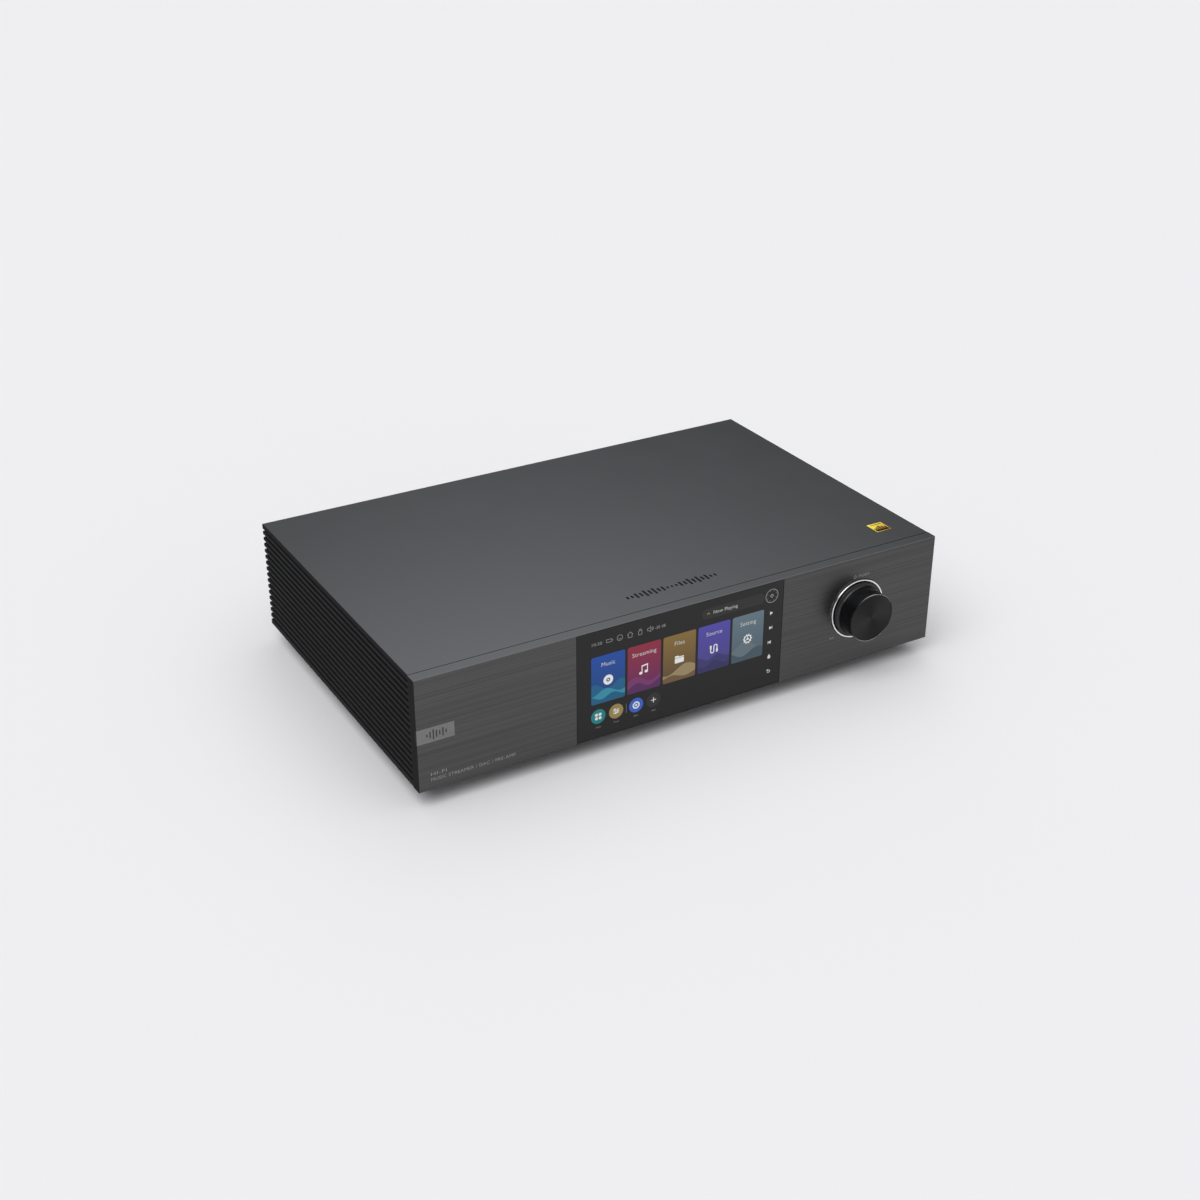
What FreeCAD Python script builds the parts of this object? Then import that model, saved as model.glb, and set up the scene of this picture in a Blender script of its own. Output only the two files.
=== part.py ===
import FreeCAD, Part
import math
import os

# A desktop DAC and network player: a finned aluminium case with a glass touch display, one push-and-turn
# knob, a rear connector panel, and the boards and transformer inside.
# Millimetres. X runs to the right, Y to the rear and Z up, and the floor is at Z = 0.

Vector = FreeCAD.Vector

# ---------------------------------------------------------------- case
BODY_WIDTH = 388.0
BODY_DEPTH = 248.0
BODY_HEIGHT = 78.0
FOOT_HEIGHT = 12.0
KNOB_REACH = 16.4
JACK_REACH = 9.0

SIDE = BODY_WIDTH / 2
FRONT = -(BODY_DEPTH + JACK_REACH - KNOB_REACH) / 2
REAR = FRONT + BODY_DEPTH
BASE = FOOT_HEIGHT
TOP = BASE + BODY_HEIGHT

PANEL_THICK = 8.0
PANEL_BACK = FRONT + PANEL_THICK
LID_THICK = 3.5
LID_UNDER = TOP - LID_THICK
SEAM = 0.2
EDGE_BREAK = 0.35

FIN_DEPTH = 3.0
GROOVE_COUNT = 16
GROOVE_PITCH = 4.58
GROOVE_WIDTH = 2.0
FIN_TIP_RADIUS = 0.6
WALL_THICK = 6.0
WALL_OUTER = SIDE - FIN_DEPTH
WALL_INNER = WALL_OUTER - WALL_THICK
LEDGE_WIDTH = 12.0
LEDGE_THICK = 4.0
BOSS_SIZE = 8.0
BOSS_HEIGHTS = (28.0, 74.0)

SHEET_THICK = 1.5
SHEET_TOP = BASE + SHEET_THICK
INNER_HALF = WALL_INNER - 0.2
REAR_THICK = 2.0
REAR_FACE = REAR - 1.0
REAR_INNER = REAR_FACE - REAR_THICK

# ---------------------------------------------------------------- fasteners
SCREW_RADIUS = 1.45
TAPPED_RADIUS = 1.5
CLEAR_RADIUS = 1.7
HEAD_RADIUS = 2.8
HEAD_HEIGHT = 1.6
SOCKET_FLATS = 2.0

LID_SCREW_YS = (FRONT + 35.0, FRONT + 128.0, FRONT + 222.0)
LEDGE_SCREW_X = WALL_INNER - 7.0
BOTTOM_SCREW_YS = (FRONT + 20.0, FRONT + 90.0, FRONT + 160.0, FRONT + 230.0)
BRACKET_Z = 51.0
BRACKET_HALF = 14.0
BRACKET_LEG = 18.0
BRACKET_THICK = 2.0
BRACKET_SCREW_OFFSET = 8.0

# ---------------------------------------------------------------- display
DISPLAY_X = -8.25
DISPLAY_WIDTH = 154.5
LIP = 0.6
GLASS_GAP = 0.12
GLASS_FRONT = FRONT + 0.1
GLASS_THICK = 1.6
GASKET_BACK = FRONT + 2.35
BOND_GAP = 0.35
WINDOW_WIDTH = 148.0
WINDOW_LOW = BASE + 4.0
WINDOW_HIGH = TOP - 4.0
CELL_THICK = 2.4
LIGHT_THICK = 3.0
BRACKET_PLATE = 1.2

# ---------------------------------------------------------------- knob and encoder
KNOB_X = 130.3
KNOB_Z = BASE + 40.0
KNOB_RADIUS = 17.25
SKIRT_RADIUS = 19.6
SKIRT_FRONT = 2.9
KNOB_BACK = 0.2
RING_OUTER = 21.3
RING_INNER = 20.1
RING_PROUD = 1.4
RECESS_RADIUS = 21.6
RECESS_DEPTH = 1.0
WEB_BACK = FRONT + 4.0
SHAFT_RADIUS = 3.0
BUSH_RADIUS = 3.5

# ---------------------------------------------------------------- trim
BADGE_WIDTH = 25.2
BADGE_HEIGHT = 10.4
BADGE_Z = BASE + 38.6
BADGE_THICK = 0.7
LABEL_SIZE = 12.0
LABEL_THICK = 0.12
LABEL_X = 170.0
LABEL_Y = FRONT + 30.8
MOTIF_Y = FRONT + 26.9
MOTIF_COUNT = 21
MOTIF_PITCH = 3.3
MOTIF_LONGEST = 8.8
MOTIF_BAR = 1.6
MOTIF_DEPTH = 0.8
INLAY_THICK = 0.6

# ---------------------------------------------------------------- feet
FOOT_X = SIDE - 40.0
FOOT_YS = (FRONT + 44.0, REAR - 50.0)
FOOT_RADIUS = 22.0
PAD_RADIUS = 19.0
PAD_HOLE = 6.0
PAD_THICK = 3.3

# ---------------------------------------------------------------- rear connectors
XLR_Z = 64.0
XLR_IN_XS = (28.0, 66.0)
XLR_OUT_XS = (104.0, 142.0)
XLR_SHELL_RADIUS = 11.8
XLR_BORE = 9.6
XLR_DEPTH = 12.0
XLR_FLANGE = (13.0, 15.5)
XLR_SCREW = (9.8, 12.2)
XLR_PINS = ((-4.0, 1.2), (4.0, 1.2), (0.0, -4.6))
LATCH_HALF = 3.3
LATCH_LOW = 9.1
LATCH_HIGH = 13.0
RCA_XS = XLR_IN_XS + XLR_OUT_XS + (-32.0, -14.0)
RCA_RADIUS = 4.15
RCA_BODY = 13.0
NETWORK_X = -96.0
NETWORK_HEIGHT = 13.6
HOST_XS = (-76.0, -58.0)
HOST_HEIGHT = 6.4
OPTICAL_XS = (-40.0, -24.0)
OPTICAL_HEIGHT = 9.8
AV_XS = (-88.0, -66.0)
AV_HEIGHT = 6.0
SMALL_PORT_X = -49.0
SMALL_PORT_HEIGHT = 3.4
TRIGGER_XS = (-122.0, -108.0)
ANTENNA_POSTS = ((-120.0, 68.0), (-8.0, 68.0))
MAINS_X = -158.0
INLET_Z = 63.0
DRAWER_Z = 46.0
ROCKER_Z = 26.5
ROCKER_TILT = 9.0
ROCKER_AXIS_Y = REAR_FACE - 1.0

# ---------------------------------------------------------------- inside
BOARD_THICK = 1.6
BOARD_UNDER = 21.5
BOARD_TOP = BOARD_UNDER + BOARD_THICK
BOARD_REAR = REAR - 5.0
MAIN_BOARD = (-134.0, -2.0, FRONT + 128.0, BOARD_REAR)
DAC_BOARD = (6.0, 172.0, FRONT + 128.0, BOARD_REAR)
SUPPLY_BOARD = (-58.0, 84.0, FRONT + 22.0, FRONT + 116.0)
CARRIER_BOARD = (-108.0, -14.0, BOARD_REAR - 32.0, BOARD_REAR)
CARRIER_TOP = 53.8
BOARD_MARGIN = 5.0
RIBBON_X = DISPLAY_X - 16.0
COIL_X = -118.0
COIL_Y = FRONT + 74.0
COIL_OUTER = 47.0
COIL_INNER = 14.0
COIL_LOW = 15.5
COIL_HIGH = 56.0
COIL_ROUND = 8.0

# ---------------------------------------------------------------- heights set by the boards
RCA_Z = BOARD_TOP + RCA_BODY / 2
TRIGGER_Z = RCA_Z
AV_Z = BOARD_TOP + AV_HEIGHT / 2
SMALL_PORT_Z = BOARD_TOP + SMALL_PORT_HEIGHT / 2
NETWORK_Z = CARRIER_TOP + NETWORK_HEIGHT / 2
HOST_Z = CARRIER_TOP + HOST_HEIGHT / 2
OPTICAL_Z = CARRIER_TOP + OPTICAL_HEIGHT / 2


# ================================================================ shapes
def box(x0, x1, y0, y1, z0, z1):
    return Part.makeBox(x1 - x0, y1 - y0, z1 - z0, Vector(x0, y0, z0))


def block_y(x, z, width, height, y0, y1, radius=0.0):
    """A bar along Y, centred on (x, z), its long edges rounded."""
    shape = box(x - width / 2, x + width / 2, y0, y1, z - height / 2, z + height / 2)
    return shape.makeFillet(radius, edges_along(shape, Vector(0, 1, 0))) if radius else shape


def rod_x(y, z, radius, x0, x1):
    return Part.makeCylinder(radius, x1 - x0, Vector(x0, y, z), Vector(1, 0, 0))


def rod_y(x, z, radius, y0, y1):
    return Part.makeCylinder(radius, y1 - y0, Vector(x, y0, z), Vector(0, 1, 0))


def rod_z(x, y, radius, z0, z1):
    return Part.makeCylinder(radius, z1 - z0, Vector(x, y, z0), Vector(0, 0, 1))


def prism_y(outline, y0, y1):
    """Extrudes a closed outline of (x, z) points along Y."""
    wire = Part.makePolygon([Vector(x, y0, z) for x, z in outline + outline[:1]])
    return Part.Face(wire).extrude(Vector(0, y1 - y0, 0))


def prism_z(outline, z0, z1):
    """Extrudes a closed outline of (x, y) points along Z."""
    wire = Part.makePolygon([Vector(x, y, z0) for x, y in outline + outline[:1]])
    return Part.Face(wire).extrude(Vector(0, 0, z1 - z0))


def hexagon(x, y, flats):
    """Corners of a hexagon of that size across its flats."""
    corner = flats / math.sqrt(3)
    angles = [math.radians(60 * step) for step in range(6)]
    return [(x + corner * math.cos(a), y + corner * math.sin(a)) for a in angles]


def turned_y(profile, x, z):
    """Turns a closed profile of (radius, y) points about the line along Y through (x, z)."""
    wire = Part.makePolygon([Vector(x + r, y, z) for r, y in profile + profile[:1]])
    return Part.Face(wire).revolve(Vector(x, 0, z), Vector(0, 1, 0), 360)


def turned_z(profile, x, y):
    """Turns a closed profile of (radius, z) points about the line along Z through (x, y)."""
    wire = Part.makePolygon([Vector(x + r, y, z) for r, z in profile + profile[:1]])
    return Part.Face(wire).revolve(Vector(x, y, 0), Vector(0, 0, 1), 360)


def edges_along(shape, axis):
    """The straight edges of a shape that run along an axis."""
    found = []
    for edge in shape.Edges:
        if edge.Curve.TypeId == "Part::GeomLine":
            if abs(abs(edge.tangentAt(edge.FirstParameter).dot(axis)) - 1) < 1e-6:
                found.append(edge)
    return found


def cut_all(shape, tools):
    return shape.cut(Part.makeCompound(list(tools)))


def screw(seat, direction, length, head_radius=HEAD_RADIUS, shank_radius=SCREW_RADIUS):
    """A button-head screw: its shank runs from the seat along the direction, its head stands behind."""
    head = Part.makeCylinder(head_radius, HEAD_HEIGHT, Vector(0, 0, -HEAD_HEIGHT))
    rim = [e for e in head.Edges if abs(e.BoundBox.ZMax + HEAD_HEIGHT) < 1e-6 and e.Length > 1]
    head = head.makeFillet(HEAD_HEIGHT * 0.5, rim)
    socket = prism_z(hexagon(0, 0, SOCKET_FLATS), -HEAD_HEIGHT, -HEAD_HEIGHT * 0.35)
    shank = Part.makeCylinder(shank_radius, length)
    tip = [e for e in shank.Edges if abs(e.BoundBox.ZMin - length) < 1e-6 and e.Length > 1]
    shape = head.cut(socket).fuse(shank.makeChamfer(shank_radius * 0.3, tip))
    turn = FreeCAD.Rotation(Vector(0, 0, 1), direction)
    shape.Placement = FreeCAD.Placement(seat, turn)
    return shape


def lead(points, radius):
    """A round lead along straight runs joined by tangent arcs."""
    edges = []
    last = points[0]
    for before, corner, after in zip(points, points[1:], points[2:]):
        back = (before - corner).normalize()
        ahead = (after - corner).normalize()
        half = (math.pi - back.getAngle(ahead)) / 2
        shorter = min(before.distanceToPoint(corner), after.distanceToPoint(corner))
        reach = 0.45 * shorter
        bend = reach / math.tan(half)
        start = corner + back * reach
        end = corner + ahead * reach
        bisector = (back + ahead).normalize()
        middle = corner + bisector * (bend / math.cos(half) - bend)
        edges.append(Part.LineSegment(last, start).toShape())
        edges.append(Part.Arc(start, middle, end).toShape())
        last = end
    edges.append(Part.LineSegment(last, points[-1]).toShape())
    path = Part.Wire(edges)
    start_direction = (points[1] - points[0]).normalize()
    ring = Part.Wire(Part.makeCircle(radius, points[0], start_direction))
    tube = path.makePipeShell([ring], True, False)
    return tube


def motif_lengths(count, longest):
    """Bar lengths of the level-meter motif, two swells side by side."""
    swell = [abs(math.sin(2 * math.pi * (i + 0.5) / count)) for i in range(count)]
    ripple = [0.82 + 0.18 * math.cos(math.pi * i) for i in range(count)]
    return [longest * (0.28 + 0.72 * s) * r for s, r in zip(swell, ripple)]


def slot_z(x, y, width, length, z0, z1):
    """An upright bar with round ends, its length along Y."""
    reach = max(length - width, 0.2) / 2
    body = box(x - width / 2, x + width / 2, y - reach, y + reach, z0, z1)
    ends = [rod_z(x, y + side * reach, width / 2, z0, z1) for side in (-1, 1)]
    return body.fuse(ends).removeSplitter()


# ================================================================ case
def front_panel():
    panel = box(-SIDE, SIDE, FRONT, PANEL_BACK, BASE, TOP)
    rim = [e for e in panel.Edges if abs(e.BoundBox.YMax - FRONT) < 1e-6]
    panel = panel.makeChamfer(EDGE_BREAK, rim)
    left, right = DISPLAY_X - DISPLAY_WIDTH / 2, DISPLAY_X + DISPLAY_WIDTH / 2
    glass_pocket = box(left, right, FRONT - 1, GASKET_BACK, BASE + LIP, TOP - LIP)
    window = box(DISPLAY_X - WINDOW_WIDTH / 2, DISPLAY_X + WINDOW_WIDTH / 2,
                 FRONT, PANEL_BACK + 1, WINDOW_LOW, WINDOW_HIGH)
    ring_recess = rod_y(KNOB_X, KNOB_Z, RECESS_RADIUS, FRONT - 1, FRONT + RECESS_DEPTH)
    bush_hole = rod_y(KNOB_X, KNOB_Z, BUSH_RADIUS + 0.1, FRONT, PANEL_BACK + 1)
    encoder_pocket = block_y(KNOB_X, KNOB_Z, 18, 18, WEB_BACK, PANEL_BACK + 1, 2)
    badge_pocket = box(-SIDE - 1, -SIDE + BADGE_WIDTH, FRONT - 1, FRONT + BADGE_THICK,
                       BADGE_Z - BADGE_HEIGHT / 2, BADGE_Z + BADGE_HEIGHT / 2)
    holes = [rod_y(x, z, TAPPED_RADIUS, PANEL_BACK - 5, PANEL_BACK + 1)
             for x, z in bracket_panel_screws() + display_screw_places()]
    pockets = [glass_pocket, window, ring_recess, bush_hole, encoder_pocket, badge_pocket]
    return cut_all(panel, pockets + holes)


def left_heatsink():
    """An extrusion: a wall with fins outside, and ledges and screw bosses inside."""
    start = PANEL_BACK + 0.1
    shape = box(-WALL_OUTER, -WALL_INNER, start, REAR, BASE, LID_UNDER)
    for index in range(GROOVE_COUNT):
        groove = TOP - 4.5 - index * GROOVE_PITCH
        high = groove - GROOVE_WIDTH / 2
        low = BASE if index == GROOVE_COUNT - 1 else high - (GROOVE_PITCH - GROOVE_WIDTH)
        fin = box(-SIDE, -WALL_OUTER + 0.5, start, REAR, low, high)
        tips = [e for e in edges_along(fin, Vector(0, 1, 0)) if abs(e.BoundBox.XMax + SIDE) < 1e-6]
        shape = shape.fuse(fin.makeFillet(FIN_TIP_RADIUS, tips))
    ledge_edge = -WALL_INNER + LEDGE_WIDTH
    ledges = [box(-WALL_INNER - 1, ledge_edge, start, REAR_INNER, LID_UNDER - LEDGE_THICK, LID_UNDER),
              box(-WALL_INNER - 1, ledge_edge, start, REAR_INNER, SHEET_TOP, SHEET_TOP + LEDGE_THICK)]
    bosses = [box(-WALL_INNER - 1, -WALL_INNER + BOSS_SIZE, start + 30, REAR_INNER,
                  z - BOSS_SIZE / 2, z + BOSS_SIZE / 2)
              for z in BOSS_HEIGHTS]
    shape = shape.fuse(ledges + bosses).removeSplitter()
    holes = [rod_y(-rear_boss_x(), z, TAPPED_RADIUS, REAR_INNER - 12, REAR) for z in BOSS_HEIGHTS]
    holes += [rod_z(-LEDGE_SCREW_X, y, CLEAR_RADIUS, LID_UNDER - LEDGE_THICK - 1, LID_UNDER + 1)
              for y in LID_SCREW_YS]
    holes += [rod_z(-LEDGE_SCREW_X, y, TAPPED_RADIUS, SHEET_TOP - 1, SHEET_TOP + LEDGE_THICK + 1)
              for y in BOTTOM_SCREW_YS]
    holes += [rod_x(PANEL_BACK + BRACKET_LEG - 6, z, TAPPED_RADIUS, -WALL_INNER - 4, -WALL_INNER + 1)
              for z in bracket_screw_heights()]
    return cut_all(shape, holes)


def rear_boss_x():
    return WALL_INNER - BOSS_SIZE / 2


def mirrored(shape):
    return shape.mirror(Vector(0, 0, 0), Vector(1, 0, 0))


def lid():
    plate = box(-SIDE, SIDE, PANEL_BACK + SEAM, REAR, LID_UNDER, TOP)
    rim = [e for e in plate.Edges if abs(e.BoundBox.ZMin - TOP) < 1e-6 and e.BoundBox.YMax > PANEL_BACK + 1]
    plate = plate.makeChamfer(EDGE_BREAK, rim)
    slots = motif_bars(MOTIF_BAR, TOP - MOTIF_DEPTH, TOP + 1)
    holes = [rod_z(side * LEDGE_SCREW_X, y, TAPPED_RADIUS, LID_UNDER - 1, LID_UNDER + 2.6)
             for side in (-1, 1) for y in LID_SCREW_YS]
    return cut_all(plate, slots + holes)


def motif_bars(width, z0, z1):
    lengths = motif_lengths(MOTIF_COUNT, MOTIF_LONGEST)
    first = -MOTIF_PITCH * (MOTIF_COUNT - 1) / 2
    return [slot_z(first + i * MOTIF_PITCH, MOTIF_Y, width, length, z0, z1)
            for i, length in enumerate(lengths)]


def lid_motif():
    return motif_bars(MOTIF_BAR - 0.04, TOP - MOTIF_DEPTH, TOP - MOTIF_DEPTH + INLAY_THICK)


def bottom_plate():
    plate = box(-INNER_HALF, INNER_HALF, PANEL_BACK + 0.2, REAR_FACE, BASE, SHEET_TOP)
    holes = [rod_z(side * LEDGE_SCREW_X, y, CLEAR_RADIUS, BASE - 1, SHEET_TOP + 1)
             for side in (-1, 1) for y in BOTTOM_SCREW_YS]
    holes += [rod_z(x, y, 2.2, BASE - 1, SHEET_TOP + 1) for x, y in foot_places()]
    holes += [rod_z(x, y, CLEAR_RADIUS, BASE - 1, SHEET_TOP + 1) for x, y in board_screw_places()]
    holes.append(rod_z(COIL_X, COIL_Y, 3.1, BASE - 1, SHEET_TOP + 1))
    vent_xs = [x + 7.0 * i for x in (-52.0, 40.0) for i in range(9)]
    holes += [slot_z(x, FRONT + 62.0, 3.0, 46.0, BASE - 1, SHEET_TOP + 1) for x in vent_xs]
    return cut_all(plate, holes)


def rear_panel():
    plate = box(-INNER_HALF, INNER_HALF, REAR_INNER, REAR_FACE, SHEET_TOP, LID_UNDER)
    low, high = REAR_INNER - 1, REAR_FACE + 1
    holes = [rod_y(x, z, CLEAR_RADIUS, low, high) for x, z in rear_screw_places()]
    for x in XLR_IN_XS + XLR_OUT_XS:
        holes.append(rod_y(x, XLR_Z, XLR_SHELL_RADIUS + 0.2, low, high))
        holes += [rod_y(x + dx, XLR_Z + dz, TAPPED_RADIUS, low, high) for dx, dz in xlr_screw_offsets()]
    for x in XLR_IN_XS:
        holes.append(block_y(x, XLR_Z + (LATCH_LOW + LATCH_HIGH) / 2, 2 * LATCH_HALF + 0.8, 4.9, low, high))
    holes += [rod_y(x, RCA_Z, RCA_RADIUS + 0.6, low, high) for x in RCA_XS]
    holes += [block_y(x, HOST_Z, 14.0, HOST_HEIGHT + 0.4, low, high, 0.6) for x in HOST_XS]
    holes.append(block_y(NETWORK_X, NETWORK_Z, 16.4, NETWORK_HEIGHT + 0.4, low, high, 0.6))
    holes += [block_y(x, AV_Z, 15.6, AV_HEIGHT + 0.4, low, high, 0.6) for x in AV_XS]
    holes.append(block_y(SMALL_PORT_X, SMALL_PORT_Z, 9.4, SMALL_PORT_HEIGHT + 0.4, low, high, 1.8))
    holes += [block_y(x, OPTICAL_Z, OPTICAL_HEIGHT + 0.2, OPTICAL_HEIGHT + 0.2, low, high, 0.4)
              for x in OPTICAL_XS]
    holes += [rod_y(x, TRIGGER_Z, 3.1, low, high) for x in TRIGGER_XS]
    holes += [rod_y(x, z, 3.2, low, high) for x, z in ANTENNA_POSTS]
    holes.append(box(MAINS_X - 13.4, MAINS_X + 13.4, low, high, DRAWER_Z - 6.6, INLET_Z + 11.4))
    holes.append(block_y(MAINS_X, ROCKER_Z, 20.4, 14.4, low, high, 0.6))
    return cut_all(plate, holes)


def corner_bracket():
    """The left-hand angle bracket between the heatsink's wall and the front panel."""
    x0 = -WALL_INNER + 0.05
    low, high = BRACKET_Z - BRACKET_HALF, BRACKET_Z + BRACKET_HALF
    on_panel = box(x0, x0 + BRACKET_LEG, PANEL_BACK, PANEL_BACK + BRACKET_THICK, low, high)
    on_wall = box(x0, x0 + BRACKET_THICK, PANEL_BACK, PANEL_BACK + BRACKET_LEG, low, high)
    holes = [rod_y(-x, z, CLEAR_RADIUS, PANEL_BACK - 1, PANEL_BACK + 4)
             for x, z in bracket_panel_screws()[:2]]
    holes += [rod_x(PANEL_BACK + BRACKET_LEG - 6, z, CLEAR_RADIUS, x0 - 1, x0 + 4)
              for z in bracket_screw_heights()]
    return cut_all(on_panel.fuse(on_wall).removeSplitter(), holes)


def bracket_screw_heights():
    return [BRACKET_Z - BRACKET_SCREW_OFFSET, BRACKET_Z + BRACKET_SCREW_OFFSET]


def bracket_panel_screws():
    """(x, z) of the bracket screws in the front panel, the right-hand pair first."""
    return [(side * (WALL_INNER - 12.0), z) for side in (1, -1) for z in bracket_screw_heights()]


def front_badge():
    edge = -SIDE + EDGE_BREAK
    plate = box(edge, -SIDE + BADGE_WIDTH - 0.1, FRONT, FRONT + BADGE_THICK,
                BADGE_Z - BADGE_HEIGHT / 2 + 0.1, BADGE_Z + BADGE_HEIGHT / 2 - 0.1)
    return plate


def gold_label():
    half = LABEL_SIZE / 2
    return box(LABEL_X - half, LABEL_X + half, LABEL_Y - half, LABEL_Y + half, TOP, TOP + LABEL_THICK)


# ================================================================ feet
def foot_places():
    return [(side * FOOT_X, y) for side in (-1, 1) for y in FOOT_YS]


def foot_cup(x, y):
    """A turned foot with a recess below for the pad and a deep seat for its screw."""
    profile = [(2.3, BASE), (FOOT_RADIUS - 0.6, BASE), (FOOT_RADIUS, BASE - 0.6), (FOOT_RADIUS, 7.4),
               (FOOT_RADIUS - 0.7, 6.9), (FOOT_RADIUS - 0.7, 6.3), (FOOT_RADIUS, 5.8),
               (FOOT_RADIUS - 0.8, 2.0),
               (PAD_RADIUS + 0.2, 2.0), (PAD_RADIUS + 0.2, PAD_THICK), (5.0, PAD_THICK), (5.0, 8.0),
               (2.3, 8.0)]
    return turned_z(profile, x, y)


def foot_pad(x, y):
    profile = [(PAD_HOLE, 0.4), (PAD_HOLE + 0.4, 0.0), (PAD_RADIUS - 0.8, 0.0), (PAD_RADIUS, 0.8),
               (PAD_RADIUS, PAD_THICK), (PAD_HOLE, PAD_THICK)]
    return turned_z(profile, x, y)


def bottom_screws():
    """The case screws, the foot screws and the screws that hold the board posts, all driven from below."""
    up = Vector(0, 0, 1)
    found = [screw(Vector(side * LEDGE_SCREW_X, y, BASE), up, 5.0)
             for side in (-1, 1) for y in BOTTOM_SCREW_YS]
    found += [screw(Vector(x, y, 8.0), up, 9.0, 4.2, 2.1) for x, y in foot_places()]
    found += [screw(Vector(x, y, BASE), up, 5.0) for x, y in board_screw_places()]
    return found


# ================================================================ display
def display_screw_places():
    xs = [DISPLAY_X + offset for offset in (-79.0, 79.0)]
    return [(x, z) for x in xs for z in (BASE + 14.0, BASE + 64.0)]


def display_glass():
    half = DISPLAY_WIDTH / 2 - GLASS_GAP
    plate = box(DISPLAY_X - half, DISPLAY_X + half, GLASS_FRONT, GLASS_FRONT + GLASS_THICK,
                BASE + LIP + GLASS_GAP, TOP - LIP - GLASS_GAP)
    rim = [e for e in plate.Edges if abs(e.BoundBox.YMax - GLASS_FRONT) < 1e-6]
    return plate.makeChamfer(0.2, rim)


def display_cell():
    low, high = WINDOW_LOW + 0.4, WINDOW_HIGH - 0.4
    half = WINDOW_WIDTH / 2 - 0.6
    start = GLASS_FRONT + GLASS_THICK + BOND_GAP
    return box(DISPLAY_X - half, DISPLAY_X + half, start, start + CELL_THICK, low, high)


def display_backlight():
    low, high = WINDOW_LOW + 0.4, WINDOW_HIGH - 0.4
    half = WINDOW_WIDTH / 2 - 0.6
    start = GLASS_FRONT + GLASS_THICK + BOND_GAP + CELL_THICK
    tray = box(DISPLAY_X - half, DISPLAY_X + half, start, start + LIGHT_THICK, low, high)
    return tray.makeFillet(1.0, edges_along(tray, Vector(0, 1, 0)))


def display_bracket():
    """A pressed plate over the window's back, with a slot for the ribbon."""
    low, high = BASE + 8.0, TOP - 5.5
    plate = block_y(DISPLAY_X, (low + high) / 2, 168.0, high - low, PANEL_BACK, PANEL_BACK + BRACKET_PLATE, 3)
    ribs = [block_y(DISPLAY_X, z, 130.0, 4.0, PANEL_BACK + BRACKET_PLATE - 0.2, PANEL_BACK + 2.6, 1.5)
            for z in (BASE + 26.0, BASE + 58.0)]
    holes = [rod_y(x, z, CLEAR_RADIUS, PANEL_BACK - 1, PANEL_BACK + 3) for x, z in display_screw_places()]
    holes.append(block_y(RIBBON_X, BASE + 42.0, 34.0, 6.0, PANEL_BACK - 1, PANEL_BACK + 3, 1.5))
    return cut_all(plate.fuse(ribs).removeSplitter(), holes)


def display_ribbon():
    """A flat cable from the display, over the supply board, to the main board."""
    low = BOARD_TOP + 3.0
    path = [(PANEL_BACK - 0.5, BASE + 42.0), (PANEL_BACK + 12.0, BASE + 42.0),
            (PANEL_BACK + 34.0, BASE + 56.0), (MAIN_BOARD[2] - 12.0, BASE + 56.0),
            (MAIN_BOARD[2] + 8.0, BASE + 40.0), (MAIN_BOARD[2] + 8.0, low)]
    thick = 0.3
    half = 12.0
    strips = []
    for (y0, z0), (y1, z1) in zip(path, path[1:]):
        length = math.hypot(y1 - y0, z1 - z0)
        strip = Part.makeBox(2 * half, length, thick, Vector(-half, 0, -thick / 2))
        strip = strip.fuse(rod_x(0, 0, thick / 2, -half, half)).fuse(rod_x(length, 0, thick / 2, -half, half))
        angle = math.degrees(math.atan2(z1 - z0, y1 - y0))
        turn = FreeCAD.Rotation(Vector(1, 0, 0), angle)
        strip.Placement = FreeCAD.Placement(Vector(RIBBON_X, y0, z0), turn)
        strips.append(strip)
    ribbon = strips[0].fuse(strips[1:]).removeSplitter()
    plug = box(RIBBON_X - half - 2, RIBBON_X + half + 2, path[-1][0] - 2.5, path[-1][0] + 2.5,
               BOARD_TOP, low + 2.0)
    return ribbon.fuse(plug).removeSplitter()


# ================================================================ knob and encoder
def knob_ring():
    low, high = FRONT - RING_PROUD, FRONT + RECESS_DEPTH
    profile = [(RING_INNER, high), (RING_INNER, low + 0.3), (RING_INNER + 0.3, low),
               (RING_OUTER - 0.5, low), (RING_OUTER, low + 0.5), (RING_OUTER, high)]
    return turned_y(profile, KNOB_X, KNOB_Z)


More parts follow.
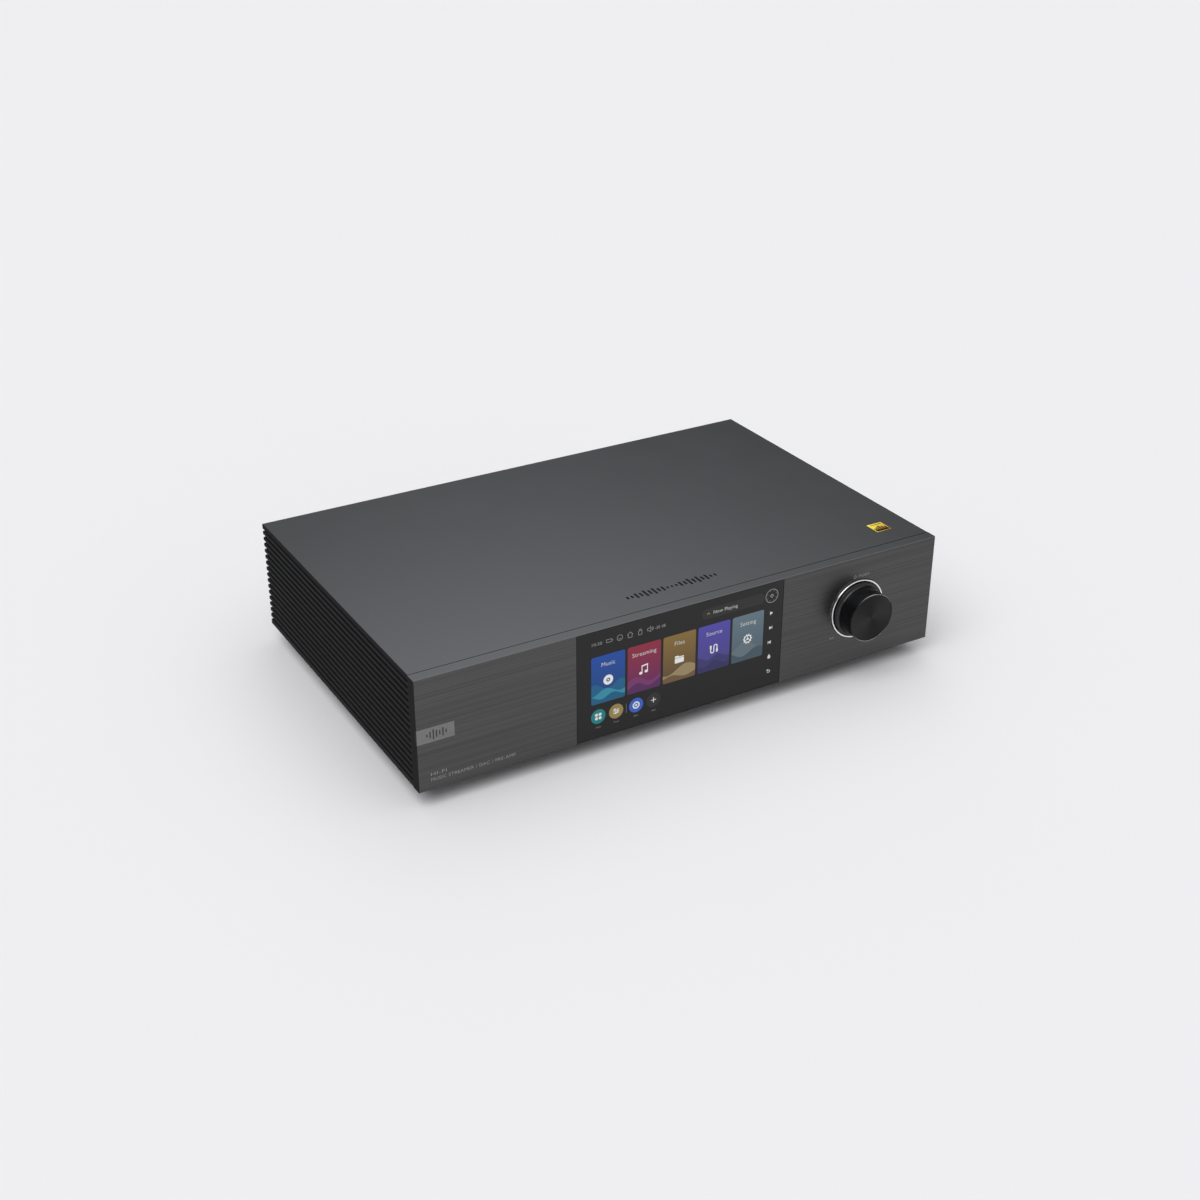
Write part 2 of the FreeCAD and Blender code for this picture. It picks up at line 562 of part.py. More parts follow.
def knob_profile():
    """The knob's section, as edges in its own (radius, reach in front of the panel) terms."""
    def place(radius, reach):
        return Vector(KNOB_X + radius, FRONT - reach, KNOB_Z)

    sweep = SKIRT_RADIUS - 0.5 - KNOB_RADIUS
    sweep_mid = sweep * (1 - math.sqrt(0.5))
    face = KNOB_REACH
    lines = [
        ((3.05, 13.0), (0.0, 13.0)),
        ((0.0, 13.0), (0.0, face - 0.15)),
        ((0.0, face - 0.15), (16.35, face - 0.15)),
        ((16.35, face - 0.15), (16.45, face)),
        ((16.45, face), (KNOB_RADIUS - 0.45, face)),
        ((KNOB_RADIUS - 0.45, face), (KNOB_RADIUS, face - 0.45)),
        ((KNOB_RADIUS, face - 0.45), (KNOB_RADIUS, SKIRT_FRONT + sweep)),
        ((SKIRT_RADIUS - 0.5, SKIRT_FRONT), (SKIRT_RADIUS, SKIRT_FRONT - 0.5)),
        ((SKIRT_RADIUS, SKIRT_FRONT - 0.5), (SKIRT_RADIUS, KNOB_BACK + 0.2)),
        ((SKIRT_RADIUS, KNOB_BACK + 0.2), (SKIRT_RADIUS - 0.2, KNOB_BACK)),
        ((SKIRT_RADIUS - 0.2, KNOB_BACK), (15.4, KNOB_BACK)),
        ((15.4, KNOB_BACK), (15.4, 11.5)),
        ((15.4, 11.5), (6.2, 11.5)),
        ((6.2, 11.5), (6.2, 3.8)),
        ((6.2, 3.8), (3.05, 3.8)),
        ((3.05, 3.8), (3.05, 13.0)),
    ]
    edges = [Part.LineSegment(place(*a), place(*b)).toShape() for a, b in lines]
    arc = Part.Arc(place(KNOB_RADIUS, SKIRT_FRONT + sweep),
                   place(KNOB_RADIUS + sweep_mid, SKIRT_FRONT + sweep_mid),
                   place(KNOB_RADIUS + sweep, SKIRT_FRONT)).toShape()
    return Part.Face(Part.Wire(Part.__sortEdges__(edges + [arc])))


def volume_knob():
    body = knob_profile().revolve(Vector(KNOB_X, 0, KNOB_Z), Vector(0, 1, 0), 360)
    key = shaft_key(0.05).common(rod_y(KNOB_X, KNOB_Z, 3.3, FRONT - 13.0, FRONT - 3.8))
    hole = rod_z(KNOB_X, FRONT - 8.0, TAPPED_RADIUS, KNOB_Z - KNOB_RADIUS - 1, KNOB_Z - 1.0)
    return body.fuse(key).cut(hole)


def shaft_key(gap):
    """The space beside the shaft's flat."""
    flat = KNOB_Z - SHAFT_RADIUS + 1.5 - gap
    return box(KNOB_X - 3.3, KNOB_X + 3.3, FRONT - 13.0, FRONT - 3.0, KNOB_Z - 3.3, flat)


def knob_set_screw():
    shape = rod_z(KNOB_X, FRONT - 8.0, SCREW_RADIUS, KNOB_Z - 6.0, KNOB_Z - SHAFT_RADIUS + 1.4)
    socket = prism_z(hexagon(KNOB_X, FRONT - 8.0, 1.5), KNOB_Z - 6.0, KNOB_Z - 4.4)
    return shape.cut(socket)


def encoder_shaft():
    shaft = rod_y(KNOB_X, KNOB_Z, SHAFT_RADIUS, FRONT - 12.8, FRONT + 5.0)
    neck = rod_y(KNOB_X, KNOB_Z, 1.8, FRONT + 4.9, FRONT + 8.0)
    return shaft.cut(shaft_key(0.0)).fuse(neck).removeSplitter()


def encoder_bushing():
    profile = [(SHAFT_RADIUS + 0.06, FRONT - 2.4), (BUSH_RADIUS - 0.3, FRONT - 2.4),
               (BUSH_RADIUS, FRONT - 2.1),
               (BUSH_RADIUS, WEB_BACK + 0.3), (SHAFT_RADIUS + 0.06, WEB_BACK + 0.3)]
    return turned_y(profile, KNOB_X, KNOB_Z)


def encoder_nut():
    front, back = FRONT - 1.1, FRONT + RECESS_DEPTH
    nut = prism_y(hexagon(KNOB_X, KNOB_Z, 10.0), front, back - 0.4)
    washer = rod_y(KNOB_X, KNOB_Z, 6.0, back - 0.4, back)
    return nut.fuse(washer).cut(rod_y(KNOB_X, KNOB_Z, BUSH_RADIUS + 0.03, front - 1, back + 1))


def encoder_body():
    shape = block_y(KNOB_X, KNOB_Z, 14.0, 13.2, WEB_BACK + 0.3, FRONT + 11.0, 0.8)
    chamber = rod_y(KNOB_X, KNOB_Z, 3.3, WEB_BACK, FRONT + 6.2)
    neck_hole = rod_y(KNOB_X, KNOB_Z, 2.1, FRONT + 6.0, FRONT + 10.2)
    return cut_all(shape, [chamber, neck_hole])


def push_plunger():
    return rod_y(KNOB_X, KNOB_Z, 1.8, FRONT + 8.1, FRONT + 9.4)


def encoder_board():
    board = block_y(KNOB_X, KNOB_Z, 34.0, 30.0, FRONT + 11.0, FRONT + 12.6, 1.5)
    plug = block_y(KNOB_X - 10.0, KNOB_Z, 8.0, 5.0, FRONT + 12.6, FRONT + 18.0, 0.4)
    legs = [rod_y(KNOB_X + dx, KNOB_Z + dz, 2.5, PANEL_BACK, FRONT + 11.0)
            for dx in (-13.5, 13.5) for dz in (-11.5, 11.5)]
    return board.fuse([plug] + legs).removeSplitter()


# ================================================================ mains inlet
def mains_inlet():
    """An appliance inlet with a fuse drawer below it, in one flanged housing."""
    middle = (DRAWER_Z + INLET_Z) / 2 + 2.4
    flange = block_y(MAINS_X, middle, 31.0, 42.0, REAR_FACE, REAR_FACE + 2.5, 3.0)
    rim = [e for e in flange.Edges if abs(e.BoundBox.YMin - REAR_FACE - 2.5) < 1e-6]
    flange = flange.makeChamfer(0.5, rim)
    body = box(MAINS_X - 13.2, MAINS_X + 13.2, REAR - 33.0, REAR_FACE + 1, DRAWER_Z - 6.4, INLET_Z + 11.2)
    cavity = prism_y(inlet_outline(), INLET_FLOOR, REAR_FACE + 3)
    drawer_slot = block_y(MAINS_X, DRAWER_Z, 22.0, 7.6, REAR - 30.0, REAR_FACE + 3)
    slots = [blade(x, z, 0.05) for x, z in blade_places()]
    return cut_all(flange.fuse(body).removeSplitter(), [cavity, drawer_slot] + slots)


INLET_FLOOR = REAR_FACE + 2.5 - 16.0


def inlet_outline():
    """The keyed six-sided mouth of the inlet."""
    left, right = MAINS_X - 12.0, MAINS_X + 12.0
    low, high = INLET_Z - 8.2, INLET_Z + 8.2
    return [(left, low), (right, low), (right, high - 5.0), (right - 5.0, high), (left + 5.0, high),
            (left, high - 5.0)]


def blade_places():
    return [(MAINS_X - 7.0, INLET_Z - 1.5), (MAINS_X + 7.0, INLET_Z - 1.5), (MAINS_X, INLET_Z + 2.5)]


def blade(x, z, gap):
    return block_y(x, z, 2.0 + 2 * gap, 4.0 + 2 * gap, REAR - 40.0, REAR_FACE - 1.5)


def fuse_drawer():
    """A drawer with a ribbed pull lip, open on top where the fuse lies."""
    front = REAR_FACE + 2.6
    tray = block_y(MAINS_X, DRAWER_Z, 21.6, 7.2, REAR - 29.0, front)
    lip = block_y(MAINS_X, DRAWER_Z, 24.0, 8.6, front, front + 1.6, 1.0)
    grip = [box(MAINS_X - 5, MAINS_X + 5, front + 1.0, front + 2.0, DRAWER_Z + dz, DRAWER_Z + dz + 0.7)
            for dz in (-2.4, -0.4, 1.6)]
    well = box(MAINS_X - 8.2, MAINS_X + 8.2, REAR - 27.0, REAR - 4.0, DRAWER_Z - 2.6, DRAWER_Z + 5)
    return cut_all(tray.fuse(lip).removeSplitter(), [well] + grip)


def fuse():
    z = DRAWER_Z + 0.3
    glass = rod_y(MAINS_X, z, 2.3, REAR - 21.5, REAR - 10.5)
    caps = [rod_y(MAINS_X, z, 2.6, y, y + 5.0) for y in (REAR - 26.5, REAR - 10.5)]
    return glass.fuse(caps).removeSplitter()


def rocker_frame():
    bezel = block_y(MAINS_X, ROCKER_Z, 23.0, 17.0, REAR_FACE, REAR_FACE + 1.6, 1.5)
    body = block_y(MAINS_X, ROCKER_Z, 20.2, 14.2, REAR - 18.0, REAR_FACE + 1.0, 0.6)
    well = block_y(MAINS_X, ROCKER_Z, 19.0, 12.2, REAR_FACE - 7.0, REAR_FACE + 3)
    pivot = rod_z(MAINS_X, ROCKER_AXIS_Y, 1.06, ROCKER_Z - 6.9, ROCKER_Z + 6.9)
    tabs = [box(MAINS_X + dx - 2.4, MAINS_X + dx + 2.4, REAR - 26.0, REAR - 17.5,
                ROCKER_Z - 0.4, ROCKER_Z + 0.4)
            for dx in (-6.0, 6.0)]
    return cut_all(bezel.fuse([body] + tabs).removeSplitter(), [well, pivot])


def power_rocker():
    """A rocker with two sloping faces, resting with one end pressed in."""
    outline = [(-8.8, 1.0), (-8.8, 3.4), (-1.0, 2.3), (1.0, 2.3), (8.8, 3.4), (8.8, 1.0),
               (4.5, -3.2), (-4.5, -3.2)]
    points = [(MAINS_X + x, ROCKER_AXIS_Y + y) for x, y in outline]
    rocker = prism_z(points, ROCKER_Z - 5.9, ROCKER_Z + 5.9)
    outer = [e for e in edges_along(rocker, Vector(0, 0, 1)) if e.BoundBox.YMin > ROCKER_AXIS_Y + 3.0]
    rocker = rocker.makeFillet(0.5, outer)
    pivots = rod_z(MAINS_X, ROCKER_AXIS_Y, 1.0, ROCKER_Z - 6.8, ROCKER_Z + 6.8)
    rocker = rocker.fuse(pivots)
    rocker.rotate(Vector(MAINS_X, ROCKER_AXIS_Y, ROCKER_Z), Vector(0, 0, 1), -ROCKER_TILT)
    return rocker


# ================================================================ audio connectors
def xlr_screw_offsets():
    dx, dz = XLR_SCREW
    return [(-dx, dz), (dx, -dz)]


def xlr_flange(x):
    half_width, half_height = XLR_FLANGE
    flange = block_y(x, XLR_Z, 2 * half_width, 2 * half_height, REAR_FACE, REAR_FACE + 1.8, 2.5)
    rim = [e for e in flange.Edges if abs(e.BoundBox.YMin - REAR_FACE - 1.8) < 1e-6]
    flange = flange.makeChamfer(0.4, rim)
    holes = [rod_y(x + dx, XLR_Z + dz, CLEAR_RADIUS, REAR_FACE - 1, REAR_FACE + 3)
             for dx, dz in xlr_screw_offsets()]
    return cut_all(flange, holes)


def xlr_shell(x, latched):
    """A flanged shell with a round mouth, with a slot for the latch where there is one."""
    back = REAR_FACE - XLR_DEPTH - 4.0
    sleeve = rod_y(x, XLR_Z, XLR_SHELL_RADIUS, back, REAR_FACE + 1)
    rim = rod_y(x, XLR_Z, XLR_BORE + 1.2, REAR_FACE, REAR_FACE + 3.0)
    mouth = rod_y(x, XLR_Z, XLR_BORE, REAR_FACE - XLR_DEPTH, REAR_FACE + 4)
    shape = xlr_flange(x).fuse([sleeve, rim]).removeSplitter()
    tools = [mouth]
    if latched:
        middle = XLR_Z + (LATCH_LOW + LATCH_HIGH) / 2
        tools.append(block_y(x, middle, 2 * LATCH_HALF + 0.4, 4.4, REAR_FACE - 9.0, REAR_FACE + 4))
    return cut_all(shape, tools)


def xlr_socket_insert(x):
    """The female insert: a plug of plastic with three contact holes."""
    floor = REAR_FACE - XLR_DEPTH
    plug = rod_y(x, XLR_Z, 7.7, floor, REAR_FACE + 0.6)
    rim = [e for e in plug.Edges if abs(e.BoundBox.YMin - REAR_FACE - 0.6) < 1e-6]
    plug = plug.makeFillet(0.6, rim)
    holes = [rod_y(x + dx, XLR_Z - dz, 1.5, floor + 1.0, REAR_FACE + 2) for dx, dz in XLR_PINS]
    key = box(x - 1.0, x + 1.0, floor + 1.0, REAR_FACE + 2, XLR_Z - 9, XLR_Z - 6.9)
    return cut_all(plug, holes + [key])


def xlr_plug_insert(x):
    """The male insert: a disc on the floor of the shell with the pins standing in it."""
    floor = REAR_FACE - XLR_DEPTH
    disc = rod_y(x, XLR_Z, XLR_BORE - 0.05, floor, floor + 1.6)
    return cut_all(disc, [rod_y(x + dx, XLR_Z + dz, 1.25, floor - 1, floor + 3) for dx, dz in XLR_PINS])


def xlr_pin(x, dx, dz):
    floor = REAR_FACE - XLR_DEPTH
    pin = rod_y(x + dx, XLR_Z + dz, 1.2, floor, REAR_FACE - 1.2)
    tip = [e for e in pin.Edges if abs(e.BoundBox.YMin - REAR_FACE + 1.2) < 1e-6 and e.Length > 3]
    return pin.makeFillet(0.8, tip)


def xlr_latch(x):
    shape = box(x - LATCH_HALF, x + LATCH_HALF, REAR_FACE - 6.0, REAR_FACE + 3.6,
                XLR_Z + LATCH_LOW, XLR_Z + LATCH_HIGH)
    rim = [e for e in shape.Edges if abs(e.BoundBox.YMin - REAR_FACE - 3.6) < 1e-6]
    return shape.makeFillet(0.6, rim)


def rca_jack(x):
    start = REAR_FACE - 9.0
    profile = [(3.3, start), (RCA_RADIUS, start), (RCA_RADIUS, REAR + JACK_REACH - 0.5),
               (RCA_RADIUS - 0.5, REAR + JACK_REACH), (3.3, REAR + JACK_REACH)]
    barrel = turned_y(profile, x, RCA_Z)
    nut = prism_y(hexagon(x, RCA_Z, 11.0), REAR_FACE + 1.2, REAR_FACE + 3.0)
    nut = nut.common(turned_y([(0, REAR_FACE + 1.2), (6.35, REAR_FACE + 1.2), (6.35, REAR_FACE + 2.6),
                               (5.7, REAR_FACE + 3.0), (0, REAR_FACE + 3.0)], x, RCA_Z))
    return nut.cut(rod_y(x, RCA_Z, 3.5, REAR_FACE, REAR)).cut(
        rod_y(x, RCA_Z, 3.5, REAR_FACE + 1, REAR_FACE + 4)).fuse(barrel).removeSplitter()


def rca_ring(x):
    profile = [(RCA_RADIUS + 0.05, REAR_FACE), (7.0, REAR_FACE), (7.0, REAR_FACE + 0.9),
               (6.7, REAR_FACE + 1.2),
               (RCA_RADIUS + 0.05, REAR_FACE + 1.2)]
    return turned_y(profile, x, RCA_Z)


def rca_insert(x):
    """The insulator in the barrel, with the contact hole, and the moulded body behind the panel."""
    end = REAR + JACK_REACH - 0.8
    core = rod_y(x, RCA_Z, 3.25, REAR_FACE - 12.0, end)
    body = block_y(x, RCA_Z, 12.0, RCA_BODY, REAR_FACE - 17.0, REAR_FACE - 9.1, 0.5)
    return core.fuse(body).cut(rod_y(x, RCA_Z, 1.6, REAR_FACE - 4.0, end + 1)).removeSplitter()


# ================================================================ digital connectors
def hollow_port(x, z, width, height, wall, depth, radius):
    outer = block_y(x, z, width, height, REAR_FACE - depth, REAR_FACE + 0.8, radius)
    mouth = block_y(x, z, width - 2 * wall, height - 2 * wall, REAR_FACE - depth + 1.0, REAR_FACE + 2,
                    max(radius - wall, 0.1))
    return outer.cut(mouth)


def av_port(x):
    """A port whose lower corners slope in."""
    z = AV_Z

    def outline(grow):
        wide, narrow = 7.2 + grow, 5.4 + grow
        high, shoulder, low = z + 2.6 + grow, z - 0.9 - grow * 0.4, z - 2.6 - grow
        return [(x - wide, high), (x - wide, shoulder), (x - narrow, low), (x + narrow, low),
                (x + wide, shoulder),
                (x + wide, high)]

    outer = prism_y(outline(0.4), REAR_FACE - 13.0, REAR_FACE + 0.8)
    return outer.cut(prism_y(outline(0.0), REAR_FACE - 12.0, REAR_FACE + 2))


def network_port():
    """A block with a stepped mouth: the plug's body above, its latch below."""
    x, z = NETWORK_X, NETWORK_Z
    outer = block_y(x, z, 16.0, NETWORK_HEIGHT, REAR_FACE - 16.0, REAR_FACE + 0.8, 0.5)
    mouths = [box(x - 5.95, x + 5.95, REAR_FACE - 13.0, REAR_FACE + 2, z - 2.6, z + 5.2),
              box(x - 3.1, x + 3.1, REAR_FACE - 13.0, REAR_FACE + 2, z - 4.2, z - 2.5),
              box(x - 1.8, x + 1.8, REAR_FACE - 13.0, REAR_FACE + 2, z - 5.4, z - 4.1)]
    return cut_all(outer, mouths)


def port_shells():
    shells = [hollow_port(x, HOST_Z, 13.6, HOST_HEIGHT, 0.4, 14.0, 0.5) for x in HOST_XS]
    shells += [av_port(x) for x in AV_XS]
    shells.append(hollow_port(SMALL_PORT_X, SMALL_PORT_Z, 9.0, SMALL_PORT_HEIGHT, 0.35, 9.0, 1.65))
    shells.append(network_port())
    return shells


def port_tongues():
    """The moulded tongues in the ports, and the network port's contact comb."""
    tongues = [box(x - 5.6, x + 5.6, REAR_FACE - 13.0, REAR_FACE - 1.0, HOST_Z + 0.3, HOST_Z + 2.1)
               for x in HOST_XS]
    tongues += [box(x - 5.2, x + 5.2, REAR_FACE - 12.0, REAR_FACE - 1.0, AV_Z - 0.2, AV_Z + 1.0)
                for x in AV_XS]
    tongues.append(box(SMALL_PORT_X - 3.2, SMALL_PORT_X + 3.2, REAR_FACE - 8.0, REAR_FACE - 0.8,
                       SMALL_PORT_Z - 0.35, SMALL_PORT_Z + 0.35))
    for index in range(8):
        x = NETWORK_X + (index - 3.5) * 1.27
        tongues.append(box(x - 0.25, x + 0.25, REAR_FACE - 13.0, REAR_FACE - 2.5,
                           NETWORK_Z + 3.9, NETWORK_Z + 5.1))
    return tongues


def optical_port(x):
    z = OPTICAL_Z
    flange = block_y(x, z, 12.0, 12.0, REAR_FACE, REAR_FACE + 1.3, 1.0)
    body = block_y(x, z, OPTICAL_HEIGHT, OPTICAL_HEIGHT, REAR_FACE - 15.0, REAR_FACE + 0.5)
    cavity = block_y(x, z, 8.0, 8.0, REAR_FACE - 12.0, REAR_FACE + 2)
    pins = rod_x(optical_axis()[0], optical_axis()[1], 0.56, x - 4.7, x + 4.7)
    return cut_all(flange.fuse(body).removeSplitter(), [cavity, pins])


def optical_axis():
    """(y, z) of the shutter's hinge."""
    return REAR_FACE + 0.6, OPTICAL_Z + 3.3


def optical_shutter(x):
    y, z = optical_axis()
    plate = box(x - 3.85, x + 3.85, y - 0.35, y + 0.35, OPTICAL_Z - 3.85, z)
    return plate.fuse(rod_x(y, z, 0.5, x - 4.6, x + 4.6)).removeSplitter()


def trigger_jack(x):
    z = TRIGGER_Z
    profile = [(1.8, REAR_FACE - 11.0), (3.0, REAR_FACE - 11.0), (3.0, REAR_FACE + 2.6),
               (2.7, REAR_FACE + 2.9),
               (1.8, REAR_FACE + 2.9)]
    nut = prism_y(hexagon(x, z, 8.0), REAR_FACE, REAR_FACE + 1.8)
    nut = nut.cut(rod_y(x, z, 2.5, REAR_FACE - 1, REAR_FACE + 3))
    return nut.fuse(turned_y(profile, x, z)).removeSplitter()


def antenna_post(x, z):
    """A threaded coaxial post with its hexagon nut."""
    pitch = 0.75
    start = REAR_FACE + 2.4
    profile = [(0.7, REAR_FACE - 6.0), (3.1, REAR_FACE - 6.0), (3.1, start)]
    for turn in range(8):
        profile += [(2.85, start + pitch * turn + 0.1), (3.15, start + pitch * (turn + 0.5))]
    end = start + pitch * 8 + 0.3
    profile += [(2.8, end), (1.9, end), (1.9, end - 4.0), (0.7, end - 4.0)]
    post = turned_y(profile, x, z)
    nut = prism_y(hexagon(x, z, 8.2), REAR_FACE, REAR_FACE + 2.2)
    nut = nut.cut(rod_y(x, z, 2.9, REAR_FACE - 1, REAR_FACE + 3))
    return nut.fuse(post).removeSplitter()


# ================================================================ screws
def rear_screw_places():
    """(x, z) of the screws through the rear panel into the heatsinks' bosses."""
    return [(side * rear_boss_x(), z) for side in (-1, 1) for z in BOSS_HEIGHTS]


def rear_screws():
    inward = Vector(0, -1, 0)
    found = [screw(Vector(x, REAR_FACE, z), inward, 9.0) for x, z in rear_screw_places()]
    for x in XLR_IN_XS + XLR_OUT_XS:
        found += [screw(Vector(x + dx, REAR_FACE + 1.8, XLR_Z + dz), inward, 6.0)
                  for dx, dz in xlr_screw_offsets()]
    return found


def inner_screws():
    """Lid, bracket, display and board screws."""
    up, down, ahead = Vector(0, 0, 1), Vector(0, 0, -1), Vector(0, -1, 0)
    found = [screw(Vector(side * LEDGE_SCREW_X, y, LID_UNDER - LEDGE_THICK), up, 6.2)
             for side in (-1, 1) for y in LID_SCREW_YS]
    found += [screw(Vector(x, PANEL_BACK + BRACKET_THICK, z), ahead, 6.0) for x, z in bracket_panel_screws()]
    wall = WALL_INNER - 0.05 - BRACKET_THICK
    found += [screw(Vector(side * wall, PANEL_BACK + BRACKET_LEG - 6, z), Vector(side, 0, 0), 5.0)
              for side in (-1, 1) for z in bracket_screw_heights()]
    found += [screw(Vector(x, PANEL_BACK + BRACKET_PLATE, z), ahead, 5.0) for x, z in display_screw_places()]
    found += [screw(Vector(x, y, BOARD_TOP), down, 4.0) for x, y in board_screw_places()]
    found += [screw(Vector(x, y, CARRIER_TOP), down, 6.0) for x, y in carrier_posts()]
    return found


# ================================================================ inside
def board_corners(board):
    x0, x1, y0, y1 = board
    inset = BOARD_MARGIN
    return [(x, y) for x in (x0 + inset, x1 - inset) for y in (y0 + inset, y1 - inset - 16.0)]


def board_screw_places():
    return [place for board in (MAIN_BOARD, DAC_BOARD, SUPPLY_BOARD) for place in board_corners(board)]


def board(extent):
    x0, x1, y0, y1 = extent
    plate = box(x0, x1, y0, y1, BOARD_UNDER, BOARD_TOP)
    return cut_all(plate, [rod_z(x, y, CLEAR_RADIUS, BOARD_UNDER - 1, BOARD_TOP + 1)
                           for x, y in board_corners(extent)])


def carrier_board():
    """The raised board that the network, host and optical ports stand on."""
    x0, x1, y0, y1 = CARRIER_BOARD
    plate = box(x0, x1, y0, y1, CARRIER_TOP - BOARD_THICK, CARRIER_TOP)
    return cut_all(plate, [rod_z(x, y, CLEAR_RADIUS, CARRIER_TOP - 3, CARRIER_TOP + 1)
                           for x, y in carrier_posts()])


def carrier_posts():
    x0, x1, y0 = CARRIER_BOARD[:3]
    return [(x0 + BOARD_MARGIN, y0 + BOARD_MARGIN), (x1 - BOARD_MARGIN, y0 + BOARD_MARGIN)]


def board_post(x, y, low, high):
    post = prism_z(hexagon(x, y, 5.5), low, high)
    return post.cut(rod_z(x, y, TAPPED_RADIUS, low - 1, high + 1))


def board_posts():
    posts = [board_post(x, y, SHEET_TOP, BOARD_UNDER) for x, y in board_screw_places()]
    return posts + [board_post(x, y, BOARD_TOP, CARRIER_TOP - BOARD_THICK) for x, y in carrier_posts()]


CHIPS = (
    # x, y behind the front face, width, depth, height
    (-30.0, 150.0, 12.0, 12.0, 1.4), (-30.0, 172.0, 12.0, 12.0, 1.4), (-108.0, 150.0, 16.0, 10.0, 1.6),
    (-108.0, 190.0, 14.0, 14.0, 1.8), (-32.0, 205.0, 10.0, 8.0, 1.2), (-58.0, 214.0, 24.0, 10.0, 6.0),
    (48.0, 150.0, 12.0, 12.0, 1.6), (128.0, 150.0, 12.0, 12.0, 1.6), (88.0, 148.0, 9.0, 7.0, 3.0),
    (88.0, 166.0, 14.0, 14.0, 1.6), (-20.0, 40.0, 14.0, 20.0, 9.0), (8.0, 40.0, 14.0, 20.0, 9.0),
)


def board_chips():
    """Chips and modules, the output relays in a row, and two rows of amplifier chips."""
    found = [box(x - w / 2, x + w / 2, FRONT + y - d / 2, FRONT + y + d / 2, BOARD_TOP, BOARD_TOP + h)
             for x, y, w, d, h in CHIPS]
    for index in range(6):
        x = 28.0 + 24.0 * index
        found.append(box(x - 5.0, x + 5.0, FRONT + 205.0, FRONT + 220.0, BOARD_TOP, BOARD_TOP + 10.0))
    for row in (178.0, 190.0):
        for index in range(8):
            x = 26.0 + 17.5 * index
            found.append(box(x - 2.5, x + 2.5, FRONT + row, FRONT + row + 6.0, BOARD_TOP, BOARD_TOP + 1.8))
    return found


def capacitor(x, y, radius, height):
    can = rod_z(x, y, radius, BOARD_TOP, BOARD_TOP + height)
    top = [e for e in can.Edges if abs(e.BoundBox.ZMin - BOARD_TOP - height) < 1e-6 and e.Length > 3]
    can = can.makeFillet(0.8, top)
    score = [box(x - radius * 0.7, x + radius * 0.7, y - 0.25, y + 0.25, BOARD_TOP + height - 0.3, TOP),
             box(x - 0.25, x + 0.25, y - radius * 0.7, y + radius * 0.7, BOARD_TOP + height - 0.3, TOP)]
    return cut_all(can, score)


def power_capacitors():
    large = [capacitor(30.0 + 21.0 * column, FRONT + 40.0 + 22.0 * row, 9.0, 25.0)
             for column in range(3) for row in range(2)]
    small = [capacitor(30.0 + 20.0 * column, FRONT + 160.0, 4.0, 12.0) for column in (0, 2, 4, 6)]
    return large + small


def processor_heatsink():
    """A finned block on the processor."""
    x, y = -70.0, FRONT + 170.0
    half = 22.0
    low = BOARD_TOP + 1.5
    shape = box(x - half, x + half, y - half, y + half, low, low + 3.0)
    fins = [box(x - half + 4.75 * i, x - half + 4.75 * i + 1.25, y - half, y + half, low + 2.5, low + 15.0)
            for i in range(10)]
    foot = box(x - 9, x + 9, y - 9, y + 9, BOARD_TOP, low + 0.5)
    return shape.fuse(fins + [foot]).removeSplitter()


def transformer():
    """A taped ring core: a round-cornered section turned about its axis."""
    def place(radius, z):
        return Vector(COIL_X + radius, COIL_Y, z)

    r = COIL_ROUND
    s = r * (1 - math.sqrt(0.5))
    inner, outer, low, high = COIL_INNER, COIL_OUTER, COIL_LOW, COIL_HIGH
    lines = [((inner + r, low), (outer - r, low)), ((outer, low + r), (outer, high - r)),
             ((outer - r, high), (inner + r, high)), ((inner, high - r), (inner, low + r))]
    arcs = [((outer - r, low), (outer - s, low + s), (outer, low + r)),
            ((outer, high - r), (outer - s, high - s), (outer - r, high)),
            ((inner + r, high), (inner + s, high - s), (inner, high - r)),
            ((inner, low + r), (inner + s, low + s), (inner + r, low))]
    edges = [Part.LineSegment(place(*a), place(*b)).toShape() for a, b in lines]
    edges += [Part.Arc(place(*a), place(*b), place(*c)).toShape() for a, b, c in arcs]
    section = Part.Face(Part.Wire(Part.__sortEdges__(edges)))
    return section.revolve(Vector(COIL_X, COIL_Y, 0), Vector(0, 0, 1), 360)


def transformer_clamp():
    """The pad below, the dished washer above and the bolt through both."""
    pad = turned_z([(3.2, SHEET_TOP), (44.0, SHEET_TOP), (44.0, COIL_LOW), (3.2, COIL_LOW)], COIL_X, COIL_Y)
    dish = turned_z([(3.2, COIL_HIGH - 2.0), (12.0, COIL_HIGH - 2.0), (15.0, COIL_HIGH), (34.0, COIL_HIGH),
                     (34.0, COIL_HIGH + 1.2), (14.5, COIL_HIGH + 1.2), (11.5, COIL_HIGH - 0.8),
                     (3.2, COIL_HIGH - 0.8)], COIL_X, COIL_Y)
    bolt = rod_z(COIL_X, COIL_Y, 3.0, BASE, COIL_HIGH + 6.0)
    nut = prism_z(hexagon(COIL_X, COIL_Y, 10.0), COIL_HIGH - 0.8, COIL_HIGH + 4.2)
    head = turned_z([(0, BASE - 1.8), (5.0, BASE - 1.8), (6.0, BASE - 0.8), (6.0, BASE), (0, BASE)],
                    COIL_X, COIL_Y)
    return [pad, dish, bolt.fuse([nut, head]).removeSplitter()]


